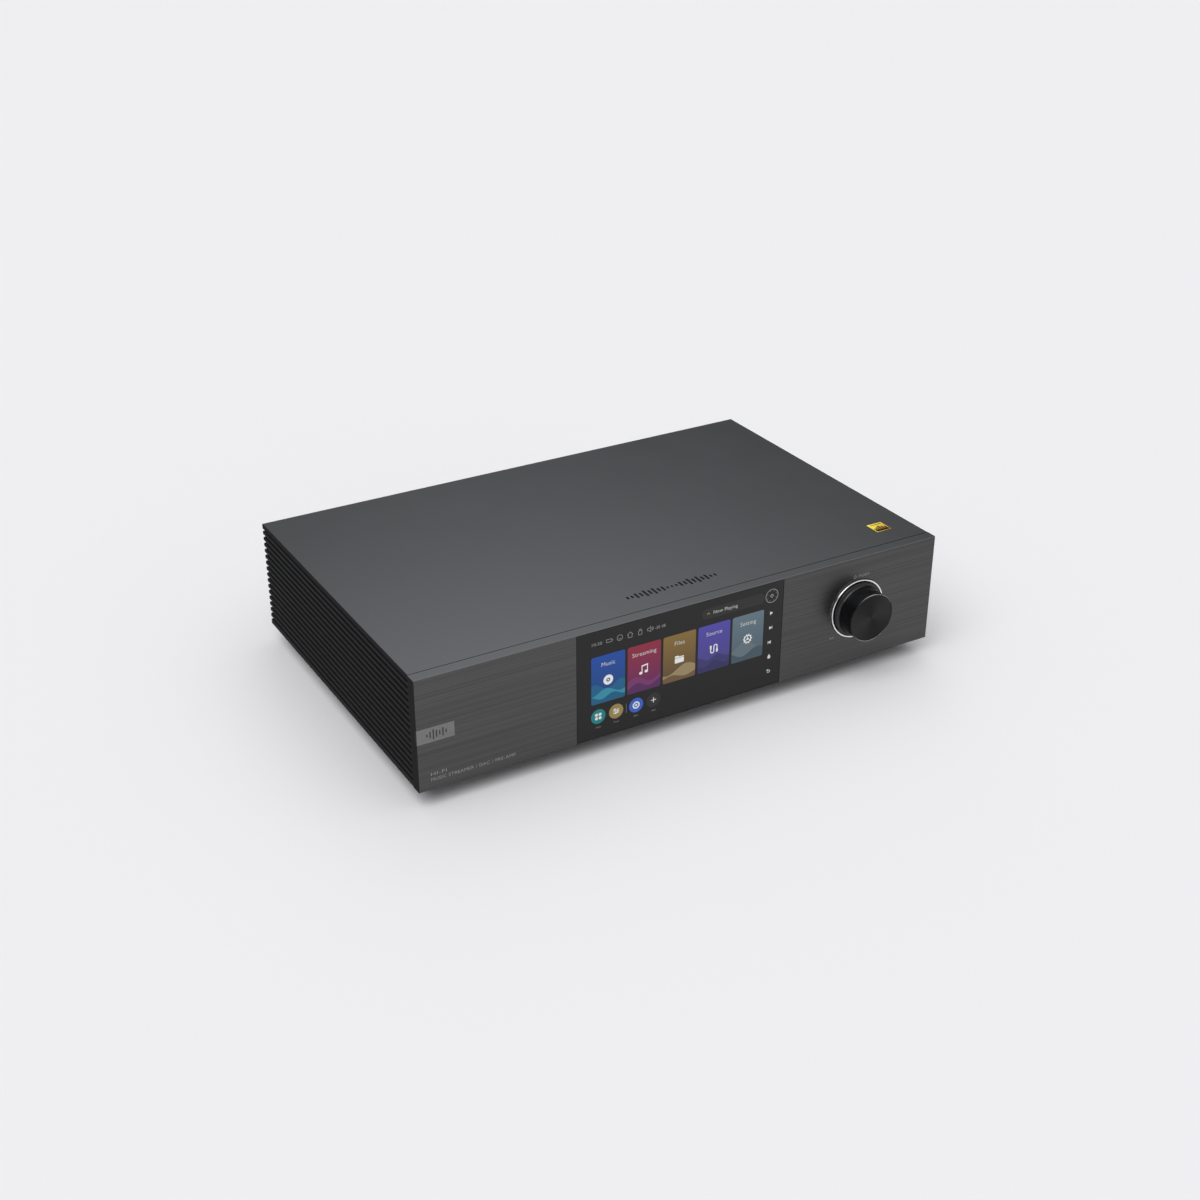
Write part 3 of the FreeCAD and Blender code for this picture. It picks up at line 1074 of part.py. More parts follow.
def mains_leads():
    """Live and neutral from the inlet's blades, round the coil, to the supply board."""
    start_y = REAR - 40.0
    leads = []
    for offset, (x, z) in zip((0.0, 4.0), blade_places()[:2]):
        lane = COIL_Y + COIL_OUTER + 7.0 + offset
        leads.append(lead([Vector(x, start_y, z), Vector(x, start_y - 24.0, z),
                           Vector(x, start_y - 50.0, 45.0),
                           Vector(x + 14.0, lane, 45.0), Vector(COIL_X + 44.0, lane, 45.0),
                           Vector(offset - 43.0, lane - 18.0, 40.0),
                           Vector(offset - 43.0, FRONT + 96.0, BOARD_TOP + 1.4)], 1.4))
    return leads


# ================================================================ the whole object
def parts():
    left = left_heatsink()
    bracket = corner_bracket()
    yield "front_panel", [front_panel()]
    yield "left_heatsink", [left]
    yield "right_heatsink", [mirrored(left)]
    yield "lid", [lid()]
    yield "lid_motif", lid_motif()
    yield "bottom_plate", [bottom_plate()]
    yield "rear_panel", [rear_panel()]
    yield "corner_brackets", [bracket, mirrored(bracket)]
    yield "front_badge", [front_badge()]
    yield "gold_label", [gold_label()]
    yield "foot_cups", [foot_cup(x, y) for x, y in foot_places()]
    yield "foot_pads", [foot_pad(x, y) for x, y in foot_places()]
    yield "bottom_screws", bottom_screws()
    yield "rear_screws", rear_screws()
    yield "inner_screws", inner_screws()
    yield "display_glass", [display_glass()]
    yield "display_cell", [display_cell()]
    yield "display_backlight", [display_backlight()]
    yield "display_bracket", [display_bracket()]
    yield "display_ribbon", [display_ribbon()]
    yield "knob_ring", [knob_ring()]
    yield "volume_knob", [volume_knob()]
    yield "knob_set_screw", [knob_set_screw()]
    yield "encoder_shaft", [encoder_shaft()]
    yield "encoder_bushing", [encoder_bushing()]
    yield "encoder_nut", [encoder_nut()]
    yield "encoder_body", [encoder_body()]
    yield "push_plunger", [push_plunger()]
    yield "encoder_board", [encoder_board()]
    yield "mains_inlet", [mains_inlet()]
    yield "mains_blades", [blade(x, z, 0.0) for x, z in blade_places()]
    yield "fuse_drawer", [fuse_drawer()]
    yield "fuse", [fuse()]
    yield "rocker_frame", [rocker_frame()]
    yield "power_rocker", [power_rocker()]
    yield "xlr_shells", [xlr_shell(x, True) for x in XLR_IN_XS] + [xlr_shell(x, False) for x in XLR_OUT_XS]
    yield "xlr_inserts", [xlr_socket_insert(x) for x in XLR_IN_XS] + [xlr_plug_insert(x) for x in XLR_OUT_XS]
    yield "xlr_pins", [xlr_pin(x, dx, dz) for x in XLR_OUT_XS for dx, dz in XLR_PINS]
    yield "xlr_latch_left", [xlr_latch(XLR_IN_XS[0])]
    yield "xlr_latch_right", [xlr_latch(XLR_IN_XS[1])]
    yield "rca_jacks", [rca_jack(x) for x in RCA_XS]
    yield "rca_rings", [rca_ring(x) for x in RCA_XS]
    yield "rca_inserts", [rca_insert(x) for x in RCA_XS]
    yield "port_shells", port_shells()
    yield "port_tongues", port_tongues()
    yield "optical_ports", [optical_port(x) for x in OPTICAL_XS]
    yield "optical_shutter_out", [optical_shutter(OPTICAL_XS[0])]
    yield "optical_shutter_in", [optical_shutter(OPTICAL_XS[1])]
    yield "trigger_jacks", [trigger_jack(x) for x in TRIGGER_XS]
    yield "antenna_posts", [antenna_post(x, z) for x, z in ANTENNA_POSTS]
    yield "digital_boards", [board(MAIN_BOARD), carrier_board()]
    yield "dac_board", [board(DAC_BOARD)]
    yield "supply_board", [board(SUPPLY_BOARD)]
    yield "board_posts", board_posts()
    yield "board_chips", board_chips()
    yield "power_capacitors", power_capacitors()
    yield "processor_heatsink", [processor_heatsink()]
    yield "transformer", [transformer()]
    yield "transformer_clamp", transformer_clamp()
    yield "mains_leads", mains_leads()


def main():
    os.makedirs("parts", exist_ok=True)
    for name, solids in parts():
        shape = solids[0] if len(solids) == 1 else Part.makeCompound(solids)
        shape.exportStep("parts/" + name + ".step")
        whole = all(solid.isValid() and solid.Volume > 0 and len(solid.Solids) == 1 for solid in solids)
        note = "" if whole else "CHECK THIS"
        print(f"{name:22s} {len(shape.Solids):3d} solids {shape.Volume / 1000:9.2f} cm3 {note}")


main()
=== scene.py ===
import math

import bmesh
import bpy
from bpy.props import FloatProperty, FloatVectorProperty, IntProperty, PointerProperty, StringProperty
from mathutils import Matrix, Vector


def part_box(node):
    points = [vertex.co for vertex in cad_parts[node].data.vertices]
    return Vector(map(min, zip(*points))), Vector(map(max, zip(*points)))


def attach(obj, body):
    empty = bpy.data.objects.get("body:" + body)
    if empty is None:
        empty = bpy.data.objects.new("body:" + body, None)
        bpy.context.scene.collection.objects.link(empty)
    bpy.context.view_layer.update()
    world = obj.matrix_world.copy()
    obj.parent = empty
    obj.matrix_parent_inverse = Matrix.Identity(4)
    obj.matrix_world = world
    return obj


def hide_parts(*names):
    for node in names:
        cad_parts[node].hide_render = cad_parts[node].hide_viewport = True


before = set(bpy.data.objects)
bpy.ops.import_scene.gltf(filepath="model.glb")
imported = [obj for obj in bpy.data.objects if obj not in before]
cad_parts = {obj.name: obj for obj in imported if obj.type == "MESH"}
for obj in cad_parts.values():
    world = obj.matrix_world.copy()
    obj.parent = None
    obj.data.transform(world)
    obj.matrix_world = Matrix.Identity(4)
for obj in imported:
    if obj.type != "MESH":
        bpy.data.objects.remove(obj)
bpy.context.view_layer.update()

bl_info = {
    "name": "Network Audio Player",
    "version": (1, 0, 0),
    "blender": (4, 5, 0),
    "location": "View3D > Sidebar > Player",
    "description": "Builds the finish, the display and the knob of a network player round its frame",
    "category": "Object",
}

MM = 0.001
CHASSIS = "chassis"

PANEL_LOW, PANEL_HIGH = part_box("front_panel")
GLASS_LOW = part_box("display_glass")[0]
KNOB_LOW, KNOB_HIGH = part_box("volume_knob")
RING_LOW, RING_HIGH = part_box("knob_ring")
LID_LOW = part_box("lid")[0]
BADGE_LOW, BADGE_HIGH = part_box("front_badge")
LABEL_LOW, LABEL_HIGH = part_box("gold_label")
REAR_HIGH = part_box("rear_panel")[1]

FRONT = PANEL_LOW[1]
SEAM = (PANEL_HIGH[1] + LID_LOW[1]) / 2
KNOB_X = (KNOB_LOW[0] + KNOB_HIGH[0]) / 2
KNOB_Z = (KNOB_LOW[2] + KNOB_HIGH[2]) / 2
KNOB_REACH = FRONT - KNOB_LOW[1]
KNOB_CENTRE = (KNOB_X, 0.0, KNOB_Z)

# The picture lies in thin layers on the glass, all of them behind the panel's own face.
TILE_THICK = 0.03 * MM
MARK_THICK = 0.06 * MM
TILE_Y = GLASS_LOW[1] - TILE_THICK
MARK_Y = GLASS_LOW[1] - MARK_THICK
INK = 0.03 * MM


def across(millimetres):
    """A place along the front panel, from its left end."""
    return PANEL_LOW[0] + millimetres * MM


def up(millimetres):
    """A height on the front panel, from its lower edge."""
    return PANEL_LOW[2] + millimetres * MM


def scaled(colour, factor):
    """A colour made lighter or darker."""
    return tuple(min(1.0, part * factor) for part in colour[:3]) + (1.0,)


def levels(red, green, blue):
    """A linear colour from screen levels of 0 to 255."""
    def linear(level):
        share = level / 255
        return share / 12.92 if share <= 0.04045 else ((share + 0.055) / 1.055) ** 2.4
    return linear(red), linear(green), linear(blue), 1.0


# What the cover glass adds of its own pale surroundings to anything seen through it.
VEIL = 0.026


def through_glass(colour):
    """The glow that reads as the colour once the glass's reflection lies over it."""
    return tuple(max(0.0, part - VEIL) for part in colour[:3]) + (1.0,)


# ------------------------------------------------------------------ sizes and colours that a user may change
def colour_property(name, description, default):
    return FloatVectorProperty(name=name, description=description, size=4, subtype="COLOR", min=0, max=1,
                               default=default)


def length_property(name, description, millimetres):
    return FloatProperty(name=name, description=description, unit="LENGTH", default=millimetres * MM)


class CaseSettings(bpy.types.PropertyGroup):
    """Colours of the case."""
    panel: colour_property("Front panel", "Colour of the brushed front panel", levels(87, 87, 86))
    lid: colour_property("Lid", "Colour of the satin lid", levels(110, 111, 113))
    fins: colour_property("Fins", "Colour of the side fins", levels(42, 42, 43))
    badge: colour_property("Badge", "Colour of the badge on the front panel", levels(126, 126, 124))


class KnobSettings(bpy.types.PropertyGroup):
    """Sizes of the knob that show."""
    face_radius: length_property("Face radius", "Radius of the knob's flat face", 17.25)
    rim: length_property("Polished rim", "Width of the polished cut round the face", 0.3)
    skirt_reach: length_property("Skirt reach", "How far the skirt stands in front of the panel", 2.9)
    steps: IntProperty(name="Steps round", description="Steps that the knob is turned in", default=160,
                       min=48)


class DisplaySettings(bpy.types.PropertyGroup):
    """Sizes of what the display shows."""
    tile_width: length_property("Tile width", "Width of a menu tile", 24.35)
    tile_height: length_property("Tile height", "Height of a menu tile", 33.8)
    tile_pitch: length_property("Tile pitch", "Distance from one tile to the next", 26.17)
    tile_radius: length_property("Tile corner", "Corner radius of a menu tile", 1.3)
    glow: FloatProperty(name="Glow", description="Brightness of the display", default=1.0, min=0)
    clock: StringProperty(name="Clock", description="Time that the display shows", default="10:30")


class StageSettings(bpy.types.PropertyGroup):
    """The floor, the light and the camera."""
    floor: colour_property("Floor", "Colour of the floor", (0.80, 0.80, 0.815, 1.0))
    lens: FloatProperty(name="Lens", description="Focal length in millimetres", default=51.89, min=10)
    elevation: FloatProperty(name="Elevation", description="How far the camera looks down", subtype="ANGLE",
                             default=math.radians(27.65))
    azimuth: FloatProperty(name="Azimuth", description="How far the camera stands round to the left",
                           subtype="ANGLE", default=math.radians(-30.07))
    place: FloatVectorProperty(name="Camera place", description="Where the camera stands", size=3,
                               subtype="TRANSLATION", default=(-0.53332, -0.92259, 0.59596))


# ------------------------------------------------------------------ modelling by hand, in code
MERGE = 1e-7
SMOOTH_BELOW = math.radians(24)
ROUND_SIDES = 48
ARC_STEPS = 32
CAP_SHARE = 0.73        # of a letter's size that a capital is tall
LETTER_THINNER = -0.004
LETTER_SPACING = 1.08
FACING_FRONT = (math.pi / 2, 0, 0)
FACING_REAR = (math.pi / 2, 0, math.pi)


def clear():
    """Leaves edit mode and selects nothing."""
    if bpy.context.object and bpy.context.object.mode != "OBJECT":
        bpy.ops.object.mode_set(mode="OBJECT")
    bpy.ops.object.select_all(action="DESELECT")


def settled(name):
    """Names the new object and puts its place into its mesh."""
    obj = bpy.context.object
    obj.name = name
    obj.data.name = name
    bpy.ops.object.transform_apply(location=True, rotation=True, scale=True)
    return obj


def edit():
    """Enters edit mode with everything selected."""
    bpy.ops.object.mode_set(mode="EDIT")
    bpy.ops.mesh.select_all(action="SELECT")


def done(merge=MERGE):
    """Merges, points the faces outwards and leaves edit mode."""
    bpy.ops.mesh.select_all(action="SELECT")
    bpy.ops.mesh.remove_doubles(threshold=merge)
    bpy.ops.mesh.normals_make_consistent(inside=False)
    bpy.ops.object.mode_set(mode="OBJECT")


def thicken(depth, direction=(0, 1, 0)):
    """Extrudes what is selected."""
    move = [depth * part for part in direction]
    bpy.ops.mesh.extrude_region_move(TRANSFORM_OT_translate={"value": move})


class Pen:
    """Draws thin upright marks, in millimetres from a point (x, z), with their faces at y."""

    def __init__(self, x, z, y=MARK_Y, thick=MARK_THICK, letters=2 * MARK_THICK):
        self.x, self.z, self.y = x, z, y
        self.thick, self.letters = thick, letters

    def at(self, place):
        """A place in millimetres from the pen's point, in metres."""
        return self.x + place[0] * MM, self.z + place[1] * MM

    def plate(self, place, width, height, radius=0.0, turn=0.0, segments=6):
        """A rectangle, with rounded corners where a radius is given."""
        x, z = self.at(place)
        clear()
        bpy.ops.mesh.primitive_plane_add(size=1, location=(x, self.y, z), rotation=(math.pi / 2, turn, 0))
        bpy.context.object.scale = (width * MM, height * MM, 1)
        piece = settled("mark")
        edit()
        if radius:
            bpy.ops.mesh.bevel(offset=radius * MM, segments=segments, affect="VERTICES")
        thicken(self.thick)
        done()
        return piece

    def bar(self, start, end, width):
        """A stroke with round ends."""
        run_x, run_z = end[0] - start[0], end[1] - start[1]
        middle = (start[0] + end[0]) / 2, (start[1] + end[1]) / 2
        length = math.hypot(run_x, run_z) + width
        return self.plate(middle, length, width, width * 0.49, -math.atan2(run_z, run_x), 4)

    def outline(self, places, width):
        """A closed line of strokes."""
        return [self.bar(start, end, width) for start, end in zip(places, places[1:] + places[:1])]

    def rays(self, count, first, inner, outer, width):
        """Strokes that point outwards all round, the first one at an angle in degrees."""
        rays = []
        for step in range(count):
            angle = math.radians(first + 360 * step / count)
            start, end = [(reach * math.cos(angle), reach * math.sin(angle)) for reach in (inner, outer)]
            rays.append(self.bar(start, end, width))
        return rays

    def circle(self, place, radius, sides, turn=0.0, squash=1.0):
        """A flat filled circle, left in edit mode."""
        x, z = self.at(place)
        clear()
        bpy.ops.mesh.primitive_circle_add(vertices=sides, radius=radius * MM, fill_type="NGON",
                                          location=(x, self.y, z), rotation=(math.pi / 2, turn, 0))
        bpy.context.object.scale = (1, squash, 1)
        piece = settled("mark")
        edit()
        return piece

    def disc(self, place, radius, sides=ROUND_SIDES, turn=0.0, squash=1.0):
        """A disc, or a regular outline with few sides."""
        piece = self.circle(place, radius, sides, turn, squash)
        thicken(self.thick)
        done()
        return piece

    def ring(self, place, radius, width, sides=ROUND_SIDES):
        """A ring: a circle is inset and its middle deleted before it is extruded."""
        piece = self.circle(place, radius, sides)
        bpy.ops.mesh.inset(thickness=width * MM, depth=0)
        bpy.ops.mesh.delete(type="FACE")
        bpy.ops.mesh.select_all(action="SELECT")
        thicken(self.thick)
        done()
        return piece

    def arc(self, place, radius, width, start, sweep):
        """Part of a ring: a small upright face is spun round the middle. Degrees run from +X towards +Z."""
        x, z = self.at(place)
        turn = math.radians(start)
        out = Vector((math.cos(turn), 0, math.sin(turn)))
        middle = Vector((x, self.y + self.thick / 2, z)) + out * (radius - width / 2) * MM
        clear()
        bpy.ops.mesh.primitive_plane_add(size=1, location=middle, rotation=(0, -turn, 0))
        bpy.context.object.scale = (width * MM, self.thick, 1)
        piece = settled("mark")
        edit()
        bpy.ops.mesh.spin(steps=ARC_STEPS, angle=math.radians(sweep), center=(x, 0, z), axis=(0, 1, 0))
        done()
        return piece

    def words(self, text, place, cap, width=None, align="LEFT", turn=FACING_FRONT):
        """Words as a thin closed mesh: capitals cap tall, on a line, fitted to a width where one is given."""
        x, z = self.at(place)
        clear()
        bpy.ops.object.text_add()
        curve = bpy.context.object.data
        curve.body = text
        curve.resolution_u = 3
        curve.offset = LETTER_THINNER
        curve.space_character = LETTER_SPACING
        curve.extrude = 0.5
        bpy.ops.object.convert(target="MESH")
        obj = bpy.context.object
        low = min(vertex.co.x for vertex in obj.data.vertices)
        high = max(vertex.co.x for vertex in obj.data.vertices)
        scale = cap * MM / CAP_SHARE
        stretch = width * MM / (high - low) if width else scale
        anchor = {"LEFT": low, "CENTER": (low + high) / 2}[align]
        for vertex in obj.data.vertices:
            right, upward, forward = vertex.co
            vertex.co = ((right - anchor) * stretch, upward * scale, forward * self.letters)
        obj.rotation_euler = turn
        obj.location = (x, self.y, z)
        piece = settled("words")
        edit()
        done()
        return piece


def on_panel(x=0.0, z=0.0, **layer):
    """A pen at a point of the front panel, in millimetres from its lower left corner."""
    return Pen(across(x), up(z), **layer)


def joined(name, pieces):
    """Joins pieces into the first one and names it."""
    clear()
    for piece in pieces:
        piece.select_set(True)
    bpy.context.view_layer.objects.active = pieces[0]
    if len(pieces) > 1:
        bpy.ops.object.join()
    pieces[0].name = name
    pieces[0].data.name = name
    return pieces[0]


def copied(name, piece, move):
    """A copy of a piece, with its own mesh, moved along."""
    clear()
    piece.select_set(True)
    bpy.context.view_layer.objects.active = piece
    bpy.ops.object.duplicate(linked=False)
    bpy.ops.transform.translate(value=move)
    return settled(name)


def turned(name, profile, steps):
    """A turned piece: a profile of (radius, y) points is extruded and spun round the knob's axis."""
    clear()
    points = [Vector((KNOB_X + radius, y, KNOB_Z)) for radius, y in profile]
    bpy.ops.mesh.primitive_plane_add(size=MM, location=points[0])
    obj = settled(name)
    edit()
    bpy.ops.mesh.merge(type="CENTER")
    for start, end in zip(points, points[1:]):
        bpy.ops.mesh.extrude_region_move(TRANSFORM_OT_translate={"value": end - start})
    bpy.ops.mesh.select_all(action="SELECT")
    bpy.ops.mesh.spin(steps=steps, angle=2 * math.pi, center=KNOB_CENTRE, axis=(0, 1, 0))
    done(20 * MERGE)
    bpy.ops.object.shade_smooth_by_angle(angle=SMOOTH_BELOW)
    return obj


def quarter(start, end, middle, count):
    """Points of a quarter arc round a middle, from one (radius, y) point to another."""
    middle = Vector(middle)
    first = Vector(start) - middle
    last = Vector(end) - middle
    found = []
    for step in range(count + 1):
        angle = math.pi / 2 * step / count
        found.append(tuple(middle + first * math.cos(angle) + last * math.sin(angle)))
    return found


def placed(piece, body, slot, material, *replaced):
    """Gives a finished piece its material and the body it rides on; the slot is not used."""
    piece.data.materials.clear()
    piece.data.materials.append(material)
    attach(piece, body)
    if replaced:
        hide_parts(*replaced)
    return piece


def shown(name, pieces, material, slot="display_dark"):
    """Joins marks into one piece that stays on the case."""
    return placed(joined(name, pieces), CHASSIS, slot, material)


# ------------------------------------------------------------------ shared shader effects
FLOAT = "NodeSocketFloat"
VECTOR = "NodeSocketVector"
GRAIN_SCALE = 2600.0


def effect(name, inputs, outputs):
    """A new node group, with the sockets that it is given and those that it puts its values out by."""
    tree = bpy.data.node_groups.new(name, "ShaderNodeTree")
    for label, kind, value in inputs:
        socket = tree.interface.new_socket(label, in_out="INPUT", socket_type=kind)
        socket.default_value = value
    for label in outputs:
        tree.interface.new_socket(label, in_out="OUTPUT", socket_type=FLOAT)
    return tree, tree.nodes.new("NodeGroupInput").outputs, tree.nodes.new("NodeGroupOutput").inputs


def give(tree, socket, value):
    """Gives an input a plain value, or a link where the value is itself a socket."""
    if isinstance(value, bpy.types.NodeSocket):
        tree.links.new(value, socket)
    else:
        socket.default_value = value


def add(tree, kind, **values):
    """A node whose settings are attributes and whose inputs are named with underscores for spaces."""
    node = tree.nodes.new(kind)
    for key, value in values.items():
        if hasattr(node, key):
            setattr(node, key, value)
        else:
            give(tree, node.inputs[key.replace("_", " ")], value)
    return node


def math_node(tree, operation, *values, kind="ShaderNodeMath", output="Value"):
    """The result of one sum, whose inputs are given in order."""
    node = add(tree, kind, operation=operation)
    for socket, value in zip(node.inputs, values):
        give(tree, socket, value)
    return node.outputs[output]


def vector_node(tree, operation, *values, output="Vector"):
    """The result of one sum of vectors."""
    return math_node(tree, operation, *values, kind="ShaderNodeVectorMath", output=output)


def place(tree):
    """Object coordinates."""
    return add(tree, "ShaderNodeTexCoord").outputs["Object"]


def axes(tree, vector=None):
    """The X, Y and Z of a vector, or of the object coordinates."""
    return add(tree, "ShaderNodeSeparateXYZ", Vector=vector or place(tree)).outputs


def grain_effect():
    """Fine even grain."""
    tree, given, out = effect("fine_grain", [("Scale", FLOAT, 3000.0)], ["Value"])
    noise = add(tree, "ShaderNodeTexNoise", Vector=place(tree), Scale=given["Scale"], Detail=3.0,
                Roughness=0.65)
    give(tree, out["Value"], noise.outputs["Fac"])
    return tree


def streak_effect():
    """Brushed streaks, drawn out along one axis by an uneven scale."""
    tree, given, out = effect("brushed_streaks", [("Stretch", VECTOR, (20.0, 20.0, 4000.0)),
                                                  ("Contrast", FLOAT, 1.0)], ["Value"])
    drawn = vector_node(tree, "MULTIPLY", place(tree), given["Stretch"])
    fine = add(tree, "ShaderNodeTexNoise", Vector=drawn, Scale=1.0, Detail=4.0, Roughness=0.7)
    broad = add(tree, "ShaderNodeTexNoise", Vector=drawn, Scale=0.21, Detail=2.0, Roughness=0.5)
    both = math_node(tree, "ADD", math_node(tree, "MULTIPLY", fine.outputs["Fac"], 0.65),
                     math_node(tree, "MULTIPLY", broad.outputs["Fac"], 0.35))
    centred = math_node(tree, "MULTIPLY", math_node(tree, "SUBTRACT", both, 0.5), given["Contrast"])
    give(tree, out["Value"], math_node(tree, "ADD", centred, 0.5))
    return tree


def smudge_effect():
    """Slow uneven patches between two limits, for roughness."""
    tree, given, out = effect("handling_marks", [("Scale", FLOAT, 24.0), ("Low", FLOAT, 0.3),
                                                 ("High", FLOAT, 0.4)], ["Value"])
    noise = add(tree, "ShaderNodeTexNoise", Vector=place(tree), Scale=given["Scale"], Detail=5.0,
                Roughness=0.6)
    spread = add(tree, "ShaderNodeMapRange", Value=noise.outputs["Fac"], From_Min=0.3, From_Max=0.7,
                 To_Min=given["Low"], To_Max=given["High"])
    give(tree, out["Value"], spread.outputs["Result"])
    return tree


def wear_effect():
    """A mask of the edges, broken up by noise, where handling has polished them."""
    tree, given, out = effect("edge_wear", [("Radius", FLOAT, 0.0006), ("Amount", FLOAT, 0.5)], ["Mask"])
    bevel = add(tree, "ShaderNodeBevel", samples=6, Radius=given["Radius"])
    geometry = add(tree, "ShaderNodeNewGeometry")
    bent = vector_node(tree, "DOT_PRODUCT", bevel.outputs[0], geometry.outputs["Normal"], output="Value")
    edge = add(tree, "ShaderNodeMapRange", Value=bent, From_Min=0.995, From_Max=0.90)
    noise = add(tree, "ShaderNodeTexNoise", Vector=place(tree), Scale=420.0, Detail=3.0)
    broken = math_node(tree, "MULTIPLY", edge.outputs["Result"], noise.outputs["Fac"])
    give(tree, out["Mask"], math_node(tree, "MULTIPLY", broken, given["Amount"]))
    return tree


def facing_effect():
    """Masks of the faces that look up and of those that look to either side."""
    tree, _, out = effect("facing", [], ["Up", "Side"])
    normal = axes(tree, add(tree, "ShaderNodeNewGeometry").outputs["Normal"])
    give(tree, out["Up"], math_node(tree, "GREATER_THAN", normal["Z"], 0.6))
    give(tree, out["Side"], math_node(tree, "GREATER_THAN", math_node(tree, "ABSOLUTE", normal["X"]), 0.6))
    return tree


def seam_effect():
    """A mask of a narrow band on both sides of the joint between the panel and the lid, where a shadow is painted.
    """
    tree, given, out = effect("seam_shadow_band", [("Place", FLOAT, 0.0), ("Reach", FLOAT, 0.0003)], ["Mask"])
    away = math_node(tree, "ABSOLUTE", math_node(tree, "SUBTRACT", axes(tree)["Y"], given["Place"]))
    give(tree, out["Mask"], math_node(tree, "LESS_THAN", away, given["Reach"]))
    return tree


def rings_and_glints_effect():
    """Fine rings left by a lathe round the knob's axis, and a wedge mask on both sides of a turn, where highlights
    are painted.
    """
    tree, given, out = effect("lathe_rings_and_painted_glints", [("Centre", VECTOR, (0.0, 0.0, 0.0)), ("Rings", FLOAT, 9000.0),
                                              ("Turn", FLOAT, 0.0)], ["Ring", "Glint_wedge"])
    away = axes(tree, vector_node(tree, "SUBTRACT", place(tree), given["Centre"]))
    square = math_node(tree, "ADD", math_node(tree, "POWER", away["X"], 2.0),
                       math_node(tree, "POWER", away["Z"], 2.0))
    radius = math_node(tree, "SQRT", square)
    rings = add(tree, "ShaderNodeTexNoise", noise_dimensions="1D", Scale=1.0, Detail=2.0,
                W=math_node(tree, "MULTIPLY", radius, given["Rings"]))
    angle = math_node(tree, "SUBTRACT", math_node(tree, "ARCTAN2", away["Z"], away["X"]), given["Turn"])
    fold = math_node(tree, "COSINE", math_node(tree, "MULTIPLY", angle, 2.0))
    give(tree, out["Ring"], rings.outputs["Fac"])
    give(tree, out["Glint_wedge"], math_node(tree, "ADD", math_node(tree, "MULTIPLY", fold, 0.5), 0.5))
    return tree


def wave_effect():
    """A mask that is one below a rolling line, as on a drawn hill or sea."""
    tree, given, out = effect("rolling_line", [("Level", FLOAT, 0.05), ("Swell", FLOAT, 0.002),
                                               ("Length", FLOAT, 300.0), ("Phase", FLOAT, 0.0)], ["Mask"])
    spot = axes(tree)
    turn = math_node(tree, "ADD", math_node(tree, "MULTIPLY", spot["X"], given["Length"]), given["Phase"])
    wave = math_node(tree, "MULTIPLY", math_node(tree, "SINE", turn), given["Swell"])
    below = math_node(tree, "SUBTRACT", math_node(tree, "ADD", given["Level"], wave), spot["Z"])
    edge = add(tree, "ShaderNodeMapRange", Value=below, From_Min=-0.12 * MM, From_Max=0.12 * MM)
    give(tree, out["Mask"], edge.outputs["Result"])
    return tree


def rise_effect(name, measure):
    """A value that rises from nought to one as what is measured goes from Low to High."""
    tree, given, out = effect(name, [("Low", FLOAT, 0.0), ("High", FLOAT, 0.1)], ["Value"])
    spread = add(tree, "ShaderNodeMapRange", Value=measure(tree), From_Min=given["Low"],
                 From_Max=given["High"])
    give(tree, out["Value"], spread.outputs["Result"])
    return tree


def fade_effect():
    """A rise with the height."""
    return rise_effect("height_fade", lambda tree: axes(tree)["Z"])


def depth_effect():
    """A rise with the distance from the middle, towards either side."""
    return rise_effect("side_depth", lambda tree: math_node(tree, "ABSOLUTE", axes(tree)["X"]))


EFFECTS = {
    "fine_grain": grain_effect,
    "brushed_streaks": streak_effect,
    "handling_marks": smudge_effect,
    "edge_wear": wear_effect,
    "facing": facing_effect,
    "seam_shadow_band": seam_effect,
    "lathe_rings_and_painted_glints": rings_and_glints_effect,
    "rolling_line": wave_effect,
    "height_fade": fade_effect,
    "side_depth": depth_effect,
}


